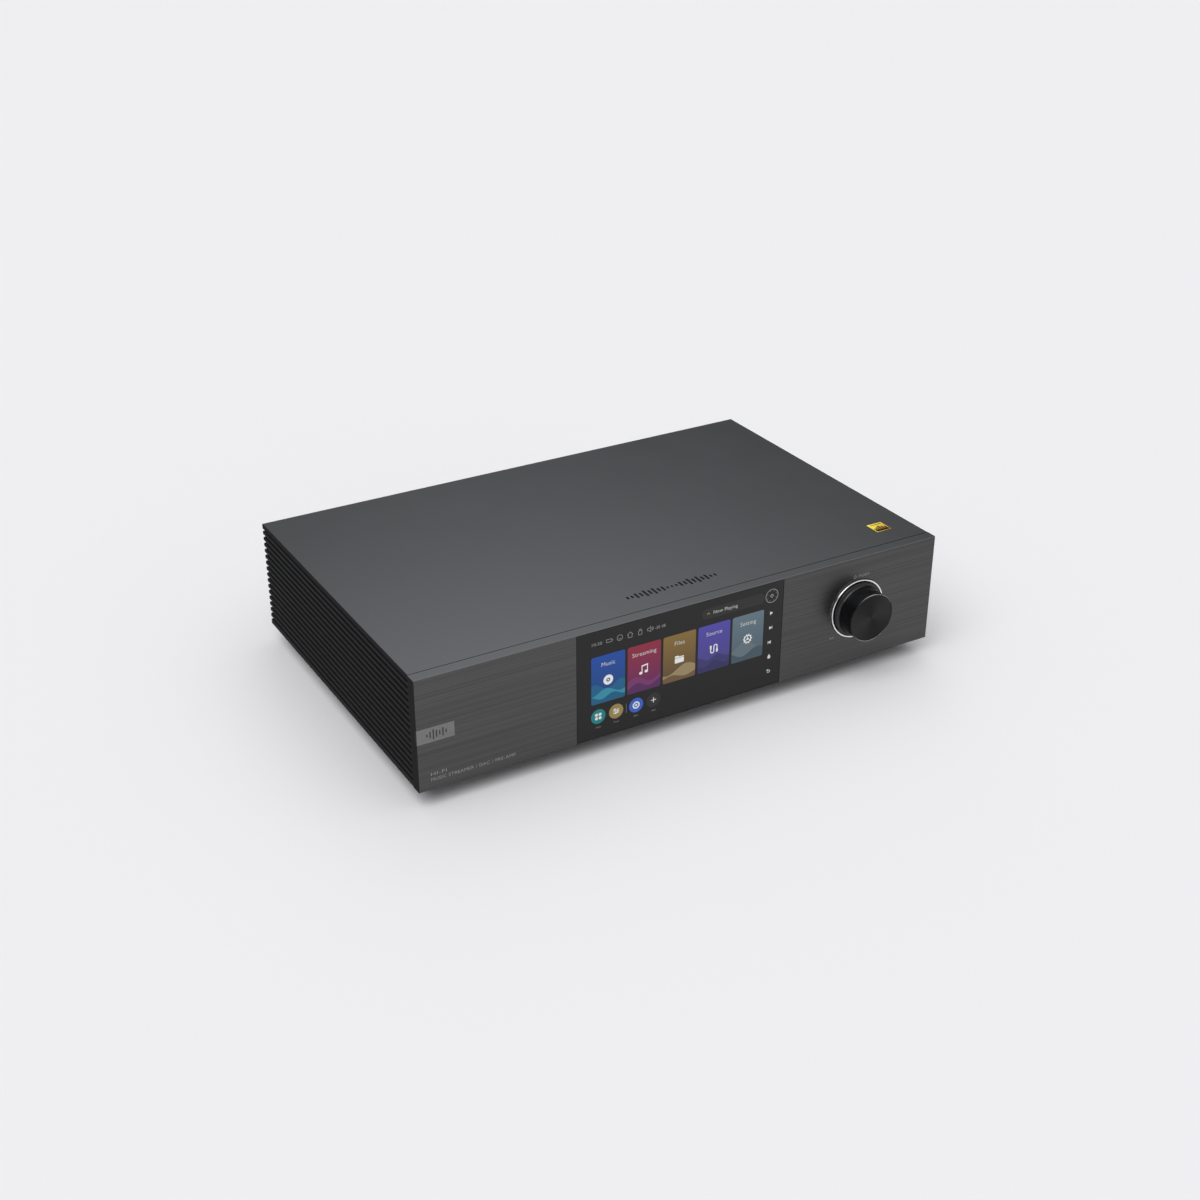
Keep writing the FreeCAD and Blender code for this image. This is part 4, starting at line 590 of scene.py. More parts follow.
class Finish:
    """A material in the making."""

    def __init__(self, name, colour, roughness=0.5, metallic=0.0, **sockets):
        self.material = bpy.data.materials.new(name)
        self.material.use_nodes = True
        self.tree = self.material.node_tree
        self.shader = self.tree.nodes["Principled BSDF"]
        self.colour = colour
        self.shader.inputs["Base Color"].default_value = colour
        self.shader.inputs["Roughness"].default_value = roughness
        self.shader.inputs["Metallic"].default_value = metallic
        for key, value in sockets.items():
            self.shader.inputs[key.replace("_", " ")].default_value = value

    def use(self, name, output, **inputs):
        """One of the shared effects, with its own values."""
        node = add(self.tree, "ShaderNodeGroup", node_tree=bpy.data.node_groups.get(name) or EFFECTS[name]())
        for key, value in inputs.items():
            node.inputs[key].default_value = value
        return node.outputs[output]

    def grain(self, scale=GRAIN_SCALE):
        return self.use("fine_grain", "Value", Scale=scale)

    def less(self, value, taken):
        """A value with another taken off."""
        return math_node(self.tree, "SUBTRACT", value, taken)

    def mix(self, share, first, second):
        """One colour turning into another where the share rises."""
        node = add(self.tree, "ShaderNodeMix", data_type="RGBA")
        give(self.tree, node.inputs["Factor"], share)
        colours = {socket.name: socket for socket in node.inputs if socket.type == "RGBA"}
        give(self.tree, colours["A"], first)
        give(self.tree, colours["B"], second)
        return [socket for socket in node.outputs if socket.type == "RGBA"][0]

    def feed(self, label, socket):
        give(self.tree, self.shader.inputs[label], socket)
        return self

    def shade(self, share, strength, colour=None):
        """A colour made lighter and darker by a share about one half."""
        colour = colour or self.colour
        return self.mix(share, scaled(colour, 1 - strength), scaled(colour, 1 + strength))

    def tint(self, share, strength):
        return self.feed("Base Color", self.shade(share, strength))

    def rough(self, low, high, scale=24.0):
        return self.feed("Roughness", self.use("handling_marks", "Value", Scale=scale, Low=low, High=high))

    def bump(self, height, distance, strength):
        """Lifts the surface by a height, and gives the finished material."""
        node = add(self.tree, "ShaderNodeBump", Strength=strength, Distance=distance * MM, Height=height)
        return self.feed("Normal", node.outputs["Normal"]).material

    def worn(self, base, lighter, radius, amount):
        """The base colour, with its edges rubbed to a lighter one; the radius is in millimetres."""
        mask = self.use("edge_wear", "Mask", Radius=radius * MM, Amount=amount)
        return self.feed("Base Color", self.mix(mask, base, lighter))


# ------------------------------------------------------------------ finishes
SEAM_SHADE = 0.35               # how much of the panel's colour is left where the seam shadow is painted at the joint with the lid
DIM_MIRROR = (0.3, 0.3, 0.3, 1.0)
GLASS_GLOSS = 0.36


def brushed(name, colour, stretch, strength=0.3, roughness=(0.26, 0.34)):
    """Brushed and anodised aluminium."""
    made = Finish(name, colour, metallic=1.0)
    streaks = made.use("brushed_streaks", "Value", Stretch=stretch, Contrast=1.8)
    made.worn(made.shade(streaks, strength), scaled(colour, 2.0), 0.4, 0.4)
    made.rough(*roughness)
    return made.bump(streaks, 0.02, 0.25)


def satin(name, colour, strength=0.10, roughness=(0.30, 0.36)):
    """Fine satin aluminium, bead-blasted and anodised."""
    made = Finish(name, colour, metallic=1.0)
    grain = made.grain()
    made.worn(made.shade(grain, strength), scaled(colour, 2.0), 0.3, 0.3)
    made.rough(*roughness)
    return made.bump(grain, 0.02, 0.35)


def fins_finish(case):
    """Aluminium with a thick, black-dyed oxide that mirrors almost nothing, with painted shade that darkens it down
    between the fins.
    """
    made = Finish("black_anodised", case.fins, Specular_IOR_Level=0.015)
    grain = made.grain()
    crest = made.use("side_depth", "Value", Low=PANEL_HIGH[0] - 2.2 * MM, High=PANEL_HIGH[0])
    # painted shade: the colour at the roots, between the fins, is made far darker than at the crests, where the
    # shade falls
    root = made.shade(grain, 0.16, scaled(case.fins, 0.12))
    made.worn(made.mix(crest, root, made.shade(grain, 0.16)), scaled(case.fins, 1.6), 0.2, 0.15)
    made.rough(0.62, 0.72)
    return made.bump(grain, 0.02, 0.35)


def painted_shade_ends(made, face, case, grain):
    """Paints shade on the faces at both ends, as dark as the fins, and makes them no longer metallic."""
    side = made.use("facing", "Side")
    made.feed("Metallic", made.less(1.0, side))
    return made.mix(side, face, made.shade(grain, 0.1, case.fins))


def painted_seam_shadow(made, face, case):
    """Paints a shadow on the edges at the joint between the panel and the lid."""
    return made.mix(made.use("seam_shadow_band", "Mask", Place=SEAM), face, scaled(case.panel, SEAM_SHADE))


def panel_finish(case):
    """The front panel: brushed in front, satin on top like the lid, with painted shade as dark as the fins at its
    ends and a painted shadow at its joint with the lid.
    """
    made = Finish("brushed_graphite", case.panel, Specular_IOR_Level=0.0, Specular_Tint=DIM_MIRROR)
    streaks = made.use("brushed_streaks", "Value", Stretch=(9.0, 9.0, 4200.0), Contrast=2.0)
    grain = made.grain()
    top = made.use("facing", "Up")
    face = made.mix(top, made.shade(streaks, 0.34), made.shade(grain, 0.1, case.lid))
    face = painted_seam_shadow(made, painted_shade_ends(made, face, case, grain), case)
    made.worn(face, scaled(case.panel, 1.4), 0.3, 0.15)
    marks = made.use("handling_marks", "Value", Scale=24.0, Low=0.34, High=0.40)
    made.feed("Roughness", made.less(marks, math_node(made.tree, "MULTIPLY", top, 0.14)))
    return made.bump(streaks, 0.02, 0.25)


def lid_finish(case):
    """The lid: satin on top, with painted shade as dark as the fins at its ends and a painted shadow at its joint
    with the panel.
    """
    made = Finish("satin_graphite", case.lid, Specular_IOR_Level=0.0, Specular_Tint=DIM_MIRROR)
    grain = made.grain()
    made.feed("Base Color", painted_seam_shadow(made, painted_shade_ends(made, made.shade(grain, 0.1), case, grain), case))
    made.rough(0.2, 0.24)
    return made.bump(grain, 0.02, 0.3)


def powder(name, colour):
    """Fine-texture powder coat."""
    made = Finish(name, colour)
    grain = made.grain(1500.0)
    made.worn(made.shade(grain, 0.2), scaled(colour, 3.0), 0.4, 0.5)
    made.rough(0.5, 0.62)
    return made.bump(grain, 0.08, 0.5)


def plated(name, colour, roughness=(0.16, 0.26), scale=2200.0):
    """Plated or polished metal."""
    made = Finish(name, colour, metallic=1.0)
    grain = made.grain(scale)
    made.tint(grain, 0.08)
    return made.rough(*roughness, scale=60.0).bump(grain, 0.01, 0.2)


def moulded(name, colour, roughness=(0.42, 0.55), grain_scale=2800.0):
    """Moulded plastic, rubber and laminate."""
    made = Finish(name, colour)
    grain = made.grain(grain_scale)
    made.worn(made.shade(grain, 0.14), scaled(colour, 2.2), 0.3, 0.4)
    return made.rough(*roughness, scale=40.0).bump(grain, 0.03, 0.35)


def infill():
    """Flat black enamel, run into the bars cut in the lid."""
    made = Finish("lid_infill", levels(14, 14, 14), Specular_IOR_Level=0.12)
    made.tint(made.grain(3000.0), 0.2)
    return made.rough(0.6, 0.75).material


def printed(name, colour, shine=0.5):
    """Screen-printed ink."""
    made = Finish(name, colour, Specular_IOR_Level=shine)
    made.tint(made.grain(4000.0), 0.12)
    return made.rough(0.5, 0.62, scale=80.0).material


def black_glass():
    """The cover glass, with its black back seen through it."""
    made = Finish("cover_glass", (0.003, 0.003, 0.0032, 1.0), Specular_IOR_Level=GLASS_GLOSS)
    return made.rough(0.03, 0.07, scale=30.0).material


def dark_layer():
    """The black ink behind the glass."""
    made = Finish("display_black", (0.0012, 0.0012, 0.0014, 1.0), Specular_IOR_Level=0.2)
    return made.rough(0.5, 0.6).material


def glowing(name):
    """Black gloss that gives light, like a part of a display under its glass."""
    return Finish(name, (0.002, 0.002, 0.002, 1.0), roughness=0.06, Specular_IOR_Level=GLASS_GLOSS,
                  Emission_Strength=bpy.context.scene.player_display.glow)


def lit(name, colour):
    """A patch of the display that gives light of one colour."""
    colour = through_glass(colour)
    made = glowing(name)
    return made.feed("Emission Color", made.mix(made.grain(6000.0), scaled(colour, 0.96), colour)).material


def tile_finish(name, top, bottom, waves):
    """A tile's face: one colour fading to another, with rolling lines drawn over it."""
    made = glowing(name)
    fade = made.use("height_fade", "Value", Low=up(TILE_FADE[0]), High=up(TILE_FADE[1]))
    face = made.mix(fade, through_glass(bottom), through_glass(top))
    for colour, level, swell, length, phase in waves:
        mask = made.use("rolling_line", "Mask", Level=up(level), Swell=swell * MM, Length=length, Phase=phase)
        face = made.mix(mask, face, through_glass(colour))
    return made.feed("Emission Color", face).material


def knob_face_finish():
    """The spun face: fine turned rings, with wedges of painted highlight and painted shade over its colour."""
    colour = levels(50, 50, 50)
    made = Finish("knob_spun_face_painted_glints", colour, metallic=1.0, Anisotropic=0.7)
    rings = made.use("lathe_rings_and_painted_glints", "Ring", Centre=KNOB_CENTRE, Rings=11000.0)
    wedges = made.use("lathe_rings_and_painted_glints", "Glint_wedge", Centre=KNOB_CENTRE, Turn=math.radians(20))
    # painted shade and painted highlight: a darker colour between the wedges, the full colour on them
    dim = made.shade(rings, 0.2, scaled(colour, 0.55))
    made.feed("Base Color", made.mix(wedges, dim, made.shade(rings, 0.2)))
    tangent = add(made.tree, "ShaderNodeTangent", direction_type="RADIAL", axis="Y")
    made.feed("Tangent", tangent.outputs[0])
    made.rough(0.26, 0.32)
    return made.bump(rings, 0.01, 0.3)


def knob_rim_finish():
    """The polished cut round the face, dark but for painted glints above and below."""
    made = Finish("knob_polished_rim_painted_glints", levels(168, 168, 166), metallic=1.0)
    wedges = made.use("lathe_rings_and_painted_glints", "Glint_wedge", Centre=KNOB_CENTRE, Turn=math.radians(80))
    # painted highlight: the rim's colour is bright only where the glints are painted, and dark elsewhere
    glint = math_node(made.tree, "POWER", wedges, 3.0)
    made.feed("Base Color", made.mix(glint, levels(44, 44, 45), made.colour))
    return made.rough(0.12, 0.18, scale=60.0).material


def knob_side_finish():
    """The black skirt and side of the knob."""
    made = Finish("knob_side_black", levels(60, 61, 63), metallic=1.0)
    grain = made.grain(3000.0)
    made.tint(grain, 0.15)
    return made.rough(0.3, 0.38).bump(grain, 0.01, 0.25)


def gold_finish():
    """Hot-stamped foil that fades from pale yellow at the left and back to a deep gold."""
    pale, deep = levels(255, 238, 80), levels(176, 98, 0)
    made = Finish("gold_foil", levels(240, 190, 60), Specular_IOR_Level=0.15)
    spot = axes(made.tree)
    slope = made.less(spot["X"], spot["Y"])
    spread = add(made.tree, "ShaderNodeMapRange", Value=slope, From_Min=LABEL_LOW[0] - LABEL_HIGH[1],
                 From_Max=LABEL_HIGH[0] - LABEL_LOW[1])
    made.feed("Base Color", made.mix(spread.outputs["Result"], pale, deep))
    return made.rough(0.3, 0.38, scale=90.0).bump(made.grain(3600.0), 0.01, 0.4)


def board_finish():
    """Solder-masked laminate with a faint weave."""
    made = Finish("board_laminate", (0.008, 0.03, 0.016, 1.0))
    weave = made.use("brushed_streaks", "Value", Stretch=(2400.0, 2400.0, 200.0), Contrast=1.4)
    made.tint(weave, 0.3)
    return made.rough(0.28, 0.4).bump(weave, 0.02, 0.3)


# ------------------------------------------------------------------ the finish of each carried-over node
def dress(finishes):
    """Gives each named CAD node its material."""
    for material, names in finishes:
        for name in names:
            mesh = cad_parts[name].data
            mesh.materials.clear()
            mesh.materials.append(material)


class PLAYER_OT_case(bpy.types.Operator):
    """Finishes the panel, the lid, the fins, the plates, the feet and the screws outside"""
    bl_idname = "player.case"
    bl_label = "Finish the case"

    def execute(self, context):
        case = context.scene.player_case
        dress([
            (panel_finish(case), ["front_panel"]),
            (lid_finish(case), ["lid"]),
            (fins_finish(case), ["left_heatsink", "right_heatsink"]),
            (powder("powder_black", levels(40, 40, 41)), ["bottom_plate", "rear_panel"]),
            (infill(), ["lid_motif"]),
            (satin("turned_foot", levels(52, 52, 54), 0.12, (0.3, 0.4)), ["foot_cups"]),
            (moulded("foot_rubber", levels(30, 30, 30), (0.7, 0.85), 1800.0), ["foot_pads"]),
            (plated("screw_black", levels(52, 52, 54), (0.3, 0.42)),
             ["bottom_screws", "rear_screws", "transformer_clamp"]),
        ])
        return {"FINISHED"}


class PLAYER_OT_rear(bpy.types.Operator):
    """Finishes the connectors on the rear panel"""
    bl_idname = "player.rear"
    bl_label = "Finish the connectors"

    def execute(self, context):
        dress([
            (moulded("connector_black", levels(34, 34, 35)),
             ["mains_inlet", "fuse_drawer", "rocker_frame", "xlr_inserts", "rca_inserts", "port_tongues"]),
            (moulded("rocker_gloss", levels(28, 28, 29), (0.16, 0.26)), ["power_rocker"]),
            (plated("bright_nickel", levels(205, 203, 198)),
             ["mains_blades", "port_shells", "trigger_jacks"]),
            (satin("latch_nickel", levels(190, 189, 184), 0.08, (0.28, 0.36)),
             ["xlr_latch_left", "xlr_latch_right"]),
            (powder("zinc_black", levels(46, 46, 48)), ["xlr_shells"]),
            (plated("gold_plate", levels(232, 190, 110)), ["rca_jacks", "antenna_posts", "xlr_pins"]),
            (moulded("insulator_white", levels(206, 205, 200)), ["rca_rings"]),
            (moulded("optical_black", levels(26, 26, 27), (0.3, 0.4)), ["optical_ports"]),
            (moulded("shutter_grey", levels(58, 58, 60), (0.35, 0.45)),
             ["optical_shutter_out", "optical_shutter_in"]),
            (plated("fuse_caps", levels(190, 192, 190)), ["fuse"]),
        ])
        return {"FINISHED"}


class PLAYER_OT_insides(bpy.types.Operator):
    """Finishes the boards, the transformer and the other pieces inside"""
    bl_idname = "player.insides"
    bl_label = "Finish the insides"

    def execute(self, context):
        dress([
            (board_finish(), ["digital_boards", "dac_board", "supply_board", "encoder_board"]),
            (moulded("chip_black", levels(24, 24, 25), (0.5, 0.6)),
             ["board_chips", "encoder_body", "push_plunger"]),
            (plated("zinc_steel", levels(176, 178, 178), (0.3, 0.42)),
             ["corner_brackets", "display_bracket", "board_posts", "inner_screws", "knob_set_screw"]),
            (moulded("can_sleeve", levels(30, 30, 42), (0.3, 0.42)), ["power_capacitors"]),
            (satin("heatsink_black", levels(40, 40, 42)), ["processor_heatsink"]),
            (moulded("coil_tape", levels(214, 178, 60), (0.25, 0.36)), ["transformer"]),
            (moulded("lead_brown", levels(96, 56, 34)), ["mains_leads"]),
            (moulded("ribbon_amber", levels(178, 104, 30), (0.2, 0.3)), ["display_ribbon"]),
            (moulded("light_tray", levels(226, 226, 226)), ["display_backlight"]),
            (dark_layer(), ["display_cell"]),
            (plated("shaft_steel", levels(180, 180, 180)), ["encoder_shaft", "encoder_nut"]),
            (plated("bushing_brass", levels(200, 160, 90)), ["encoder_bushing"]),
        ])
        return {"FINISHED"}


# ------------------------------------------------------------------ knob
RIM_GAP = 0.3 * MM              # from the groove in the knob's face to its polished rim


def knob_profile(knob):
    """Outline of the knob, from the middle of its face round to its bore, as (radius, y)."""
    face, rim, skirt = knob.face_radius, knob.rim, knob.skirt_reach
    widest, lip = KNOB_HIGH[0] - KNOB_X, 0.5 * MM
    edge = widest - lip
    sweep = edge - face
    dish, groove = KNOB_REACH - 0.12 * MM, KNOB_REACH - 0.16 * MM
    hollow, socket, bore = 15.4 * MM, 6.2 * MM, 3.05 * MM
    mouth, hollow_end, socket_end, bore_end = 0.2 * MM, 11.5 * MM, 3.8 * MM, 13.0 * MM
    front = [(0.0, dish), (face - rim - 0.45 * MM, dish), (face - rim - 0.38 * MM, groove),
             (face - rim - 0.28 * MM, groove), (face - rim - 0.20 * MM, KNOB_REACH), (face - rim, KNOB_REACH),
             (face, KNOB_REACH - rim)]
    root = quarter((face, skirt + sweep), (edge, skirt), (edge, skirt + sweep), 9)
    rounded = quarter((edge, skirt), (widest, skirt - lip), (edge, skirt - lip), 5)
    back = [(widest, 0.4 * MM), (widest - 0.2 * MM, mouth), (hollow, mouth), (hollow, hollow_end),
            (socket, hollow_end), (socket, socket_end), (bore, socket_end), (bore, bore_end), (0.0, bore_end)]
    return [(radius, FRONT - stand) for radius, stand in front + root + rounded[1:] + back]


def mark_faces(piece, index, wanted):
    """Gives the faces whose middle radius and reach pass the test the material at that index."""
    clear()
    piece.select_set(True)
    bpy.context.view_layer.objects.active = piece
    bpy.ops.object.mode_set(mode="EDIT")
    mesh = bmesh.from_edit_mesh(piece.data)
    for face in mesh.faces:
        middle = face.calc_center_median()
        radius = math.hypot(middle.x - KNOB_X, middle.z - KNOB_Z)
        if wanted(radius, FRONT - middle.y):
            face.material_index = index
    bmesh.update_edit_mesh(piece.data)
    bpy.ops.object.mode_set(mode="OBJECT")


class PLAYER_OT_knob(bpy.types.Operator):
    """Turns the volume knob, with its spun face, its polished rim and its black skirt"""
    bl_idname = "player.knob"
    bl_label = "Make the knob"

    def execute(self, context):
        knob = context.scene.player_knob
        made = turned("knob_turned", knob_profile(knob), knob.steps)
        placed(made, "knob", "knob_black", knob_side_finish(), "volume_knob")
        made.data.materials.append(knob_face_finish())
        made.data.materials.append(knob_rim_finish())
        split = knob.face_radius - knob.rim - RIM_GAP
        mark_faces(made, 1, lambda radius, reach: radius < split and reach > KNOB_REACH - RIM_GAP)
        mark_faces(made, 2, lambda radius, reach: radius > split and reach > KNOB_REACH - knob.rim)
        return {"FINISHED"}


class PLAYER_OT_ring(bpy.types.Operator):
    """Turns the polished ring round the knob"""
    bl_idname = "player.ring"
    bl_label = "Make the knob's ring"

    def execute(self, context):
        inner, outer = 20.1 * MM, RING_HIGH[0] - KNOB_X
        front, back = RING_LOW[1], RING_HIGH[1]
        crown = 0.55 * MM
        shoulder = (outer - crown, front + crown)
        profile = [(inner, back), (inner, front + 0.3 * MM), (inner + 0.12 * MM, front + 0.06 * MM),
                   (inner + 0.3 * MM, front)]
        profile += quarter((outer - crown, front), (outer, front + crown), shoulder, 8)
        profile += [(outer, back), (inner, back)]
        made = turned("knob_ring_polished", profile, context.scene.player_knob.steps)
        finish = plated("polished_ring", levels(238, 238, 236), (0.06, 0.12), 3000.0)
        placed(made, CHASSIS, "polished_ring", finish, "knob_ring")
        return {"FINISHED"}


# ------------------------------------------------------------------ display, in millimetres on the panel
TILES = (
    # name, upper colour, lower colour, rolling lines (colour, level, swell, length, phase)
    ("Music", levels(47, 78, 154), levels(44, 74, 112),
     ((levels(46, 96, 132), 37.0, 2.4, 330.0, 0.4), (levels(60, 134, 156), 33.0, 2.0, 300.0, 2.0),
      (levels(44, 92, 124), 29.5, 1.5, 360.0, 4.0))),
    ("Streaming", levels(136, 54, 68), levels(98, 52, 92),
     ((levels(114, 62, 102), 34.0, 2.6, 280.0, 1.0), (levels(88, 52, 92), 30.0, 1.8, 340.0, 3.2))),
    ("Files", levels(128, 104, 62), levels(90, 74, 58),
     ((levels(146, 128, 98), 33.5, 3.0, 210.0, 2.6), (levels(106, 88, 66), 28.8, 1.2, 300.0, 0.2))),
    ("Source", levels(82, 76, 158), levels(76, 72, 122),
     ((levels(66, 63, 108), 35.0, 1.4, 420.0, 0.0), (levels(60, 57, 96), 30.5, 1.7, 380.0, 1.6))),
    ("Setting", levels(98, 114, 124), levels(80, 96, 106),
     ((levels(98, 110, 118), 36.0, 3.4, 230.0, 5.0), (levels(72, 86, 96), 31.0, 2.4, 260.0, 1.2))),
)
TILE_LEFT = 119.0
TILE_MIDDLE = 42.15
TILE_FADE = (25.3, 59.0)
WORD_LINE = 51.2
ICON_LINE = 40.8
SHORTCUT_LINE = 16.1
SHORTCUT_WORD_LINE = 7.9
STATUS_LINE = 68.3
STATUS_WORD_LINE = 67.2
PLAYING_LINE = 67.6
KEY_COLUMN = 253.7
KEY_STROKE = 0.35
SIGN_STROKE = 0.32
CORNERS = 3                     # sides of a triangle
MIDDLE = (0.0, 0.0)


class PLAYER_OT_glass(bpy.types.Operator):
    """Finishes the cover glass, which is black right through when the display is dark"""
    bl_idname = "player.glass"
    bl_label = "Finish the glass"

    def execute(self, context):
        dress([(black_glass(), ["display_glass"])])
        return {"FINISHED"}


def tile_middle(index, display):
    """Where the middle of a tile lies across the panel."""
    return across(TILE_LEFT) + display.tile_width / 2 + index * display.tile_pitch


def disc_icon(pen):
    """A record: a broad ring round a dot."""
    return [pen.ring(MIDDLE, 3.5, 2.1), pen.disc(MIDDLE, 0.6)]


def note_icon(pen):
    """Two notes joined by a beam."""
    return [pen.disc((-2.45, -2.3), 1.25, squash=0.8),
            pen.disc((1.55, -1.8), 1.25, squash=0.8),
            pen.bar((-1.6, -2.2), (-1.6, 2.7), 0.6),
            pen.bar((2.4, -1.7), (2.4, 3.2), 0.6),
            pen.bar((-1.6, 2.6), (2.4, 3.1), 0.95)]


def folder_icon(pen):
    """A filled folder: its tab, its back edge and its front flap."""
    return [pen.plate((-1.9, 2.0), 2.9, 1.0, 0.3),
            pen.plate((0.0, 1.4), 6.8, 0.7, 0.2),
            pen.plate((0.0, -1.0), 6.8, 3.5, 0.5)]


def cable_icon(pen):
    """A lead that loops down and up between a plug above and a plug below."""
    side, loop, bend, stroke = 2.4, 1.2, 1.6, 0.75
    return [pen.bar((-side, 0.2), (-side, -bend), stroke),
            pen.bar((0.0, -bend), (0.0, bend), stroke),
            pen.bar((side, bend), (side, -0.2), stroke),
            pen.arc((-loop, -bend), loop + stroke / 2, stroke, 180, 180),
            pen.arc((loop, bend), loop + stroke / 2, stroke, 0, 180),
            pen.plate((-side, 1.5), 1.35, 2.6, 0.5),
            pen.plate((side, -1.5), 1.35, 2.6, 0.5)]


def gear_icon(pen):
    """A toothed ring with three spokes."""
    wheel = [pen.ring(MIDDLE, 2.9, 0.7), pen.disc(MIDDLE, 0.75)]
    teeth = pen.rays(10, 0, 2.7, 3.15, 0.85)
    spokes = pen.rays(3, 90, 0.0, 2.4, 0.5)
    return wheel + teeth + spokes


ICONS = (disc_icon, note_icon, folder_icon, cable_icon, gear_icon)


class PLAYER_OT_tiles(bpy.types.Operator):
    """Makes the five menu tiles of the display"""
    bl_idname = "player.tiles"
    bl_label = "Make the tiles"

    def execute(self, context):
        display = context.scene.player_display
        pen = Pen(tile_middle(0, display), up(TILE_MIDDLE), TILE_Y, TILE_THICK)
        size = display.tile_width / MM, display.tile_height / MM, display.tile_radius / MM
        tiles = [joined("tile_Music", [pen.plate(MIDDLE, *size, segments=8)])]
        for index, (label, *_) in enumerate(TILES[1:], 1):
            tiles.append(copied("tile_" + label, tiles[0], (index * display.tile_pitch, 0, 0)))
        for tile, (label, top, bottom, waves) in zip(tiles, TILES):
            placed(tile, CHASSIS, "display_dark", tile_finish("tile_" + label.lower(), top, bottom, waves))
        return {"FINISHED"}


class PLAYER_OT_icons(bpy.types.Operator):
    """Makes the words and the pictograms on the tiles"""
    bl_idname = "player.icons"
    bl_label = "Make the tile marks"

    def execute(self, context):
        display = context.scene.player_display
        white = lit("display_white", levels(222, 222, 220))
        pale = lit("display_pale", levels(190, 190, 190))
        for index, ((label, *_), draw) in enumerate(zip(TILES, ICONS)):
            x = tile_middle(index, display)
            shown("icon_" + label, draw(Pen(x, up(ICON_LINE))), white)
            shown("word_" + label, [Pen(x, up(WORD_LINE)).words(label, MIDDLE, 3.0, align="CENTER")], pale)
        return {"FINISHED"}


def dots_mark(pen):
    """Four dots."""
    return [pen.disc((side * 1.3, rise * 1.3), 1.1) for side in (-1, 1) for rise in (-1, 1)]


def sliders_mark(pen):
    """Three sliders, each with its knob."""
    lines = [pen.bar((-2.1, row), (2.1, row), 0.4) for row in (-1.3, 0.0, 1.3)]
    return lines + [pen.disc(spot, 0.75) for spot in ((-0.9, 1.3), (1.1, 0.0), (-0.3, -1.3))]


def disc_mark(pen):
    """A ring round a dot."""
    return [pen.ring(MIDDLE, 2.6, 1.0), pen.disc(MIDDLE, 0.8)]


def plus_mark(pen):
    """A plus."""
    return [pen.bar((-1.7, 0.0), (1.7, 0.0), 0.5), pen.bar((0.0, -1.7), (0.0, 1.7), 0.5)]


SHORTCUTS = (
    # name, place across the panel, colour, mark
    ("Apps", 124.0, levels(40, 122, 126), dots_mark),
    ("Tone", 137.0, levels(142, 126, 80), sliders_mark),
    ("Disc", 151.7, levels(62, 96, 180), disc_mark),
    ("Add", 164.6, levels(56, 56, 58), plus_mark),
)


class PLAYER_OT_shortcuts(bpy.types.Operator):
    """Makes the round shortcuts under the tiles"""
    bl_idname = "player.shortcuts"
    bl_label = "Make the shortcuts"

    def execute(self, context):
        white = lit("shortcut_white", levels(214, 214, 212))
        grey = lit("shortcut_grey", levels(118, 118, 118))
        for label, x, colour, draw in SHORTCUTS:
            under = on_panel(x, SHORTCUT_LINE, y=TILE_Y, thick=TILE_THICK)
            button = lit("shortcut_" + label.lower(), colour)
            shown("shortcut_" + label, [under.disc(MIDDLE, 5.2, sides=64)], button)
            shown("shortcut_mark_" + label, draw(on_panel(x, SHORTCUT_LINE)), white)
            words = on_panel(x, SHORTCUT_WORD_LINE).words(label, MIDDLE, 1.25, align="CENTER")
            shown("shortcut_word_" + label, [words], grey)
        shown("shortcut_divider", [on_panel().bar((144.4, 12.6), (144.4, 19.4), 0.25)], grey)
        return {"FINISHED"}


def status_signs(pen):
    """Battery, face, house, lock and loudspeaker, in thin strokes."""
    stroke = SIGN_STROKE
    battery = [(129.8, -1.0), (133.6, -1.0), (133.6, 1.0), (129.8, 1.0)]
    house = [(145.425, -1.875), (148.175, -1.875), (148.175, 0.125), (148.8, 0.125), (146.8, 2.0),
             (144.8, 0.125), (145.425, 0.125)]
    lock = [(152.9, -1.9), (155.3, -1.9), (155.3, 0.9), (152.9, 0.9)]
    shackle = [(153.5, 0.9), (154.7, 0.9), (154.7, 2.0), (153.5, 2.0)]
    speaker = [(159.4, -0.8), (160.4, -0.8), (161.8, -1.9), (161.8, 1.9), (160.4, 0.8), (159.4, 0.8)]
    signs = pen.outline(battery, stroke) + [pen.bar((134.3, -0.4), (134.3, 0.4), stroke)]
    signs += [pen.ring((139.4, 0.0), 2.1, stroke), pen.arc((139.4, 0.0), 1.1, stroke, 200, 140)]
    for places in (house, lock, shackle, speaker):
        signs += pen.outline(places, stroke)
    return signs + [pen.arc((161.9, 0.0), reach, stroke, -50, 100) for reach in (1.1, 1.9)]


class PLAYER_OT_status(bpy.types.Operator):
    """Makes the clock and the small signs along the display's upper edge"""
    bl_idname = "player.status"
    bl_label = "Make the status line"

    def execute(self, context):
        grey = lit("status_grey", levels(138, 138, 138))
        line = on_panel(z=STATUS_WORD_LINE)
        shown("status_clock", [line.words(context.scene.player_display.clock, (119.5, 0.0), 2.1, 7.2)], grey)
        shown("status_level", [line.words("-20 dB", (165.0, 0.0), 2.1, 7.6)], grey)
        shown("status_signs", status_signs(on_panel(z=STATUS_LINE)), grey)
        return {"FINISHED"}


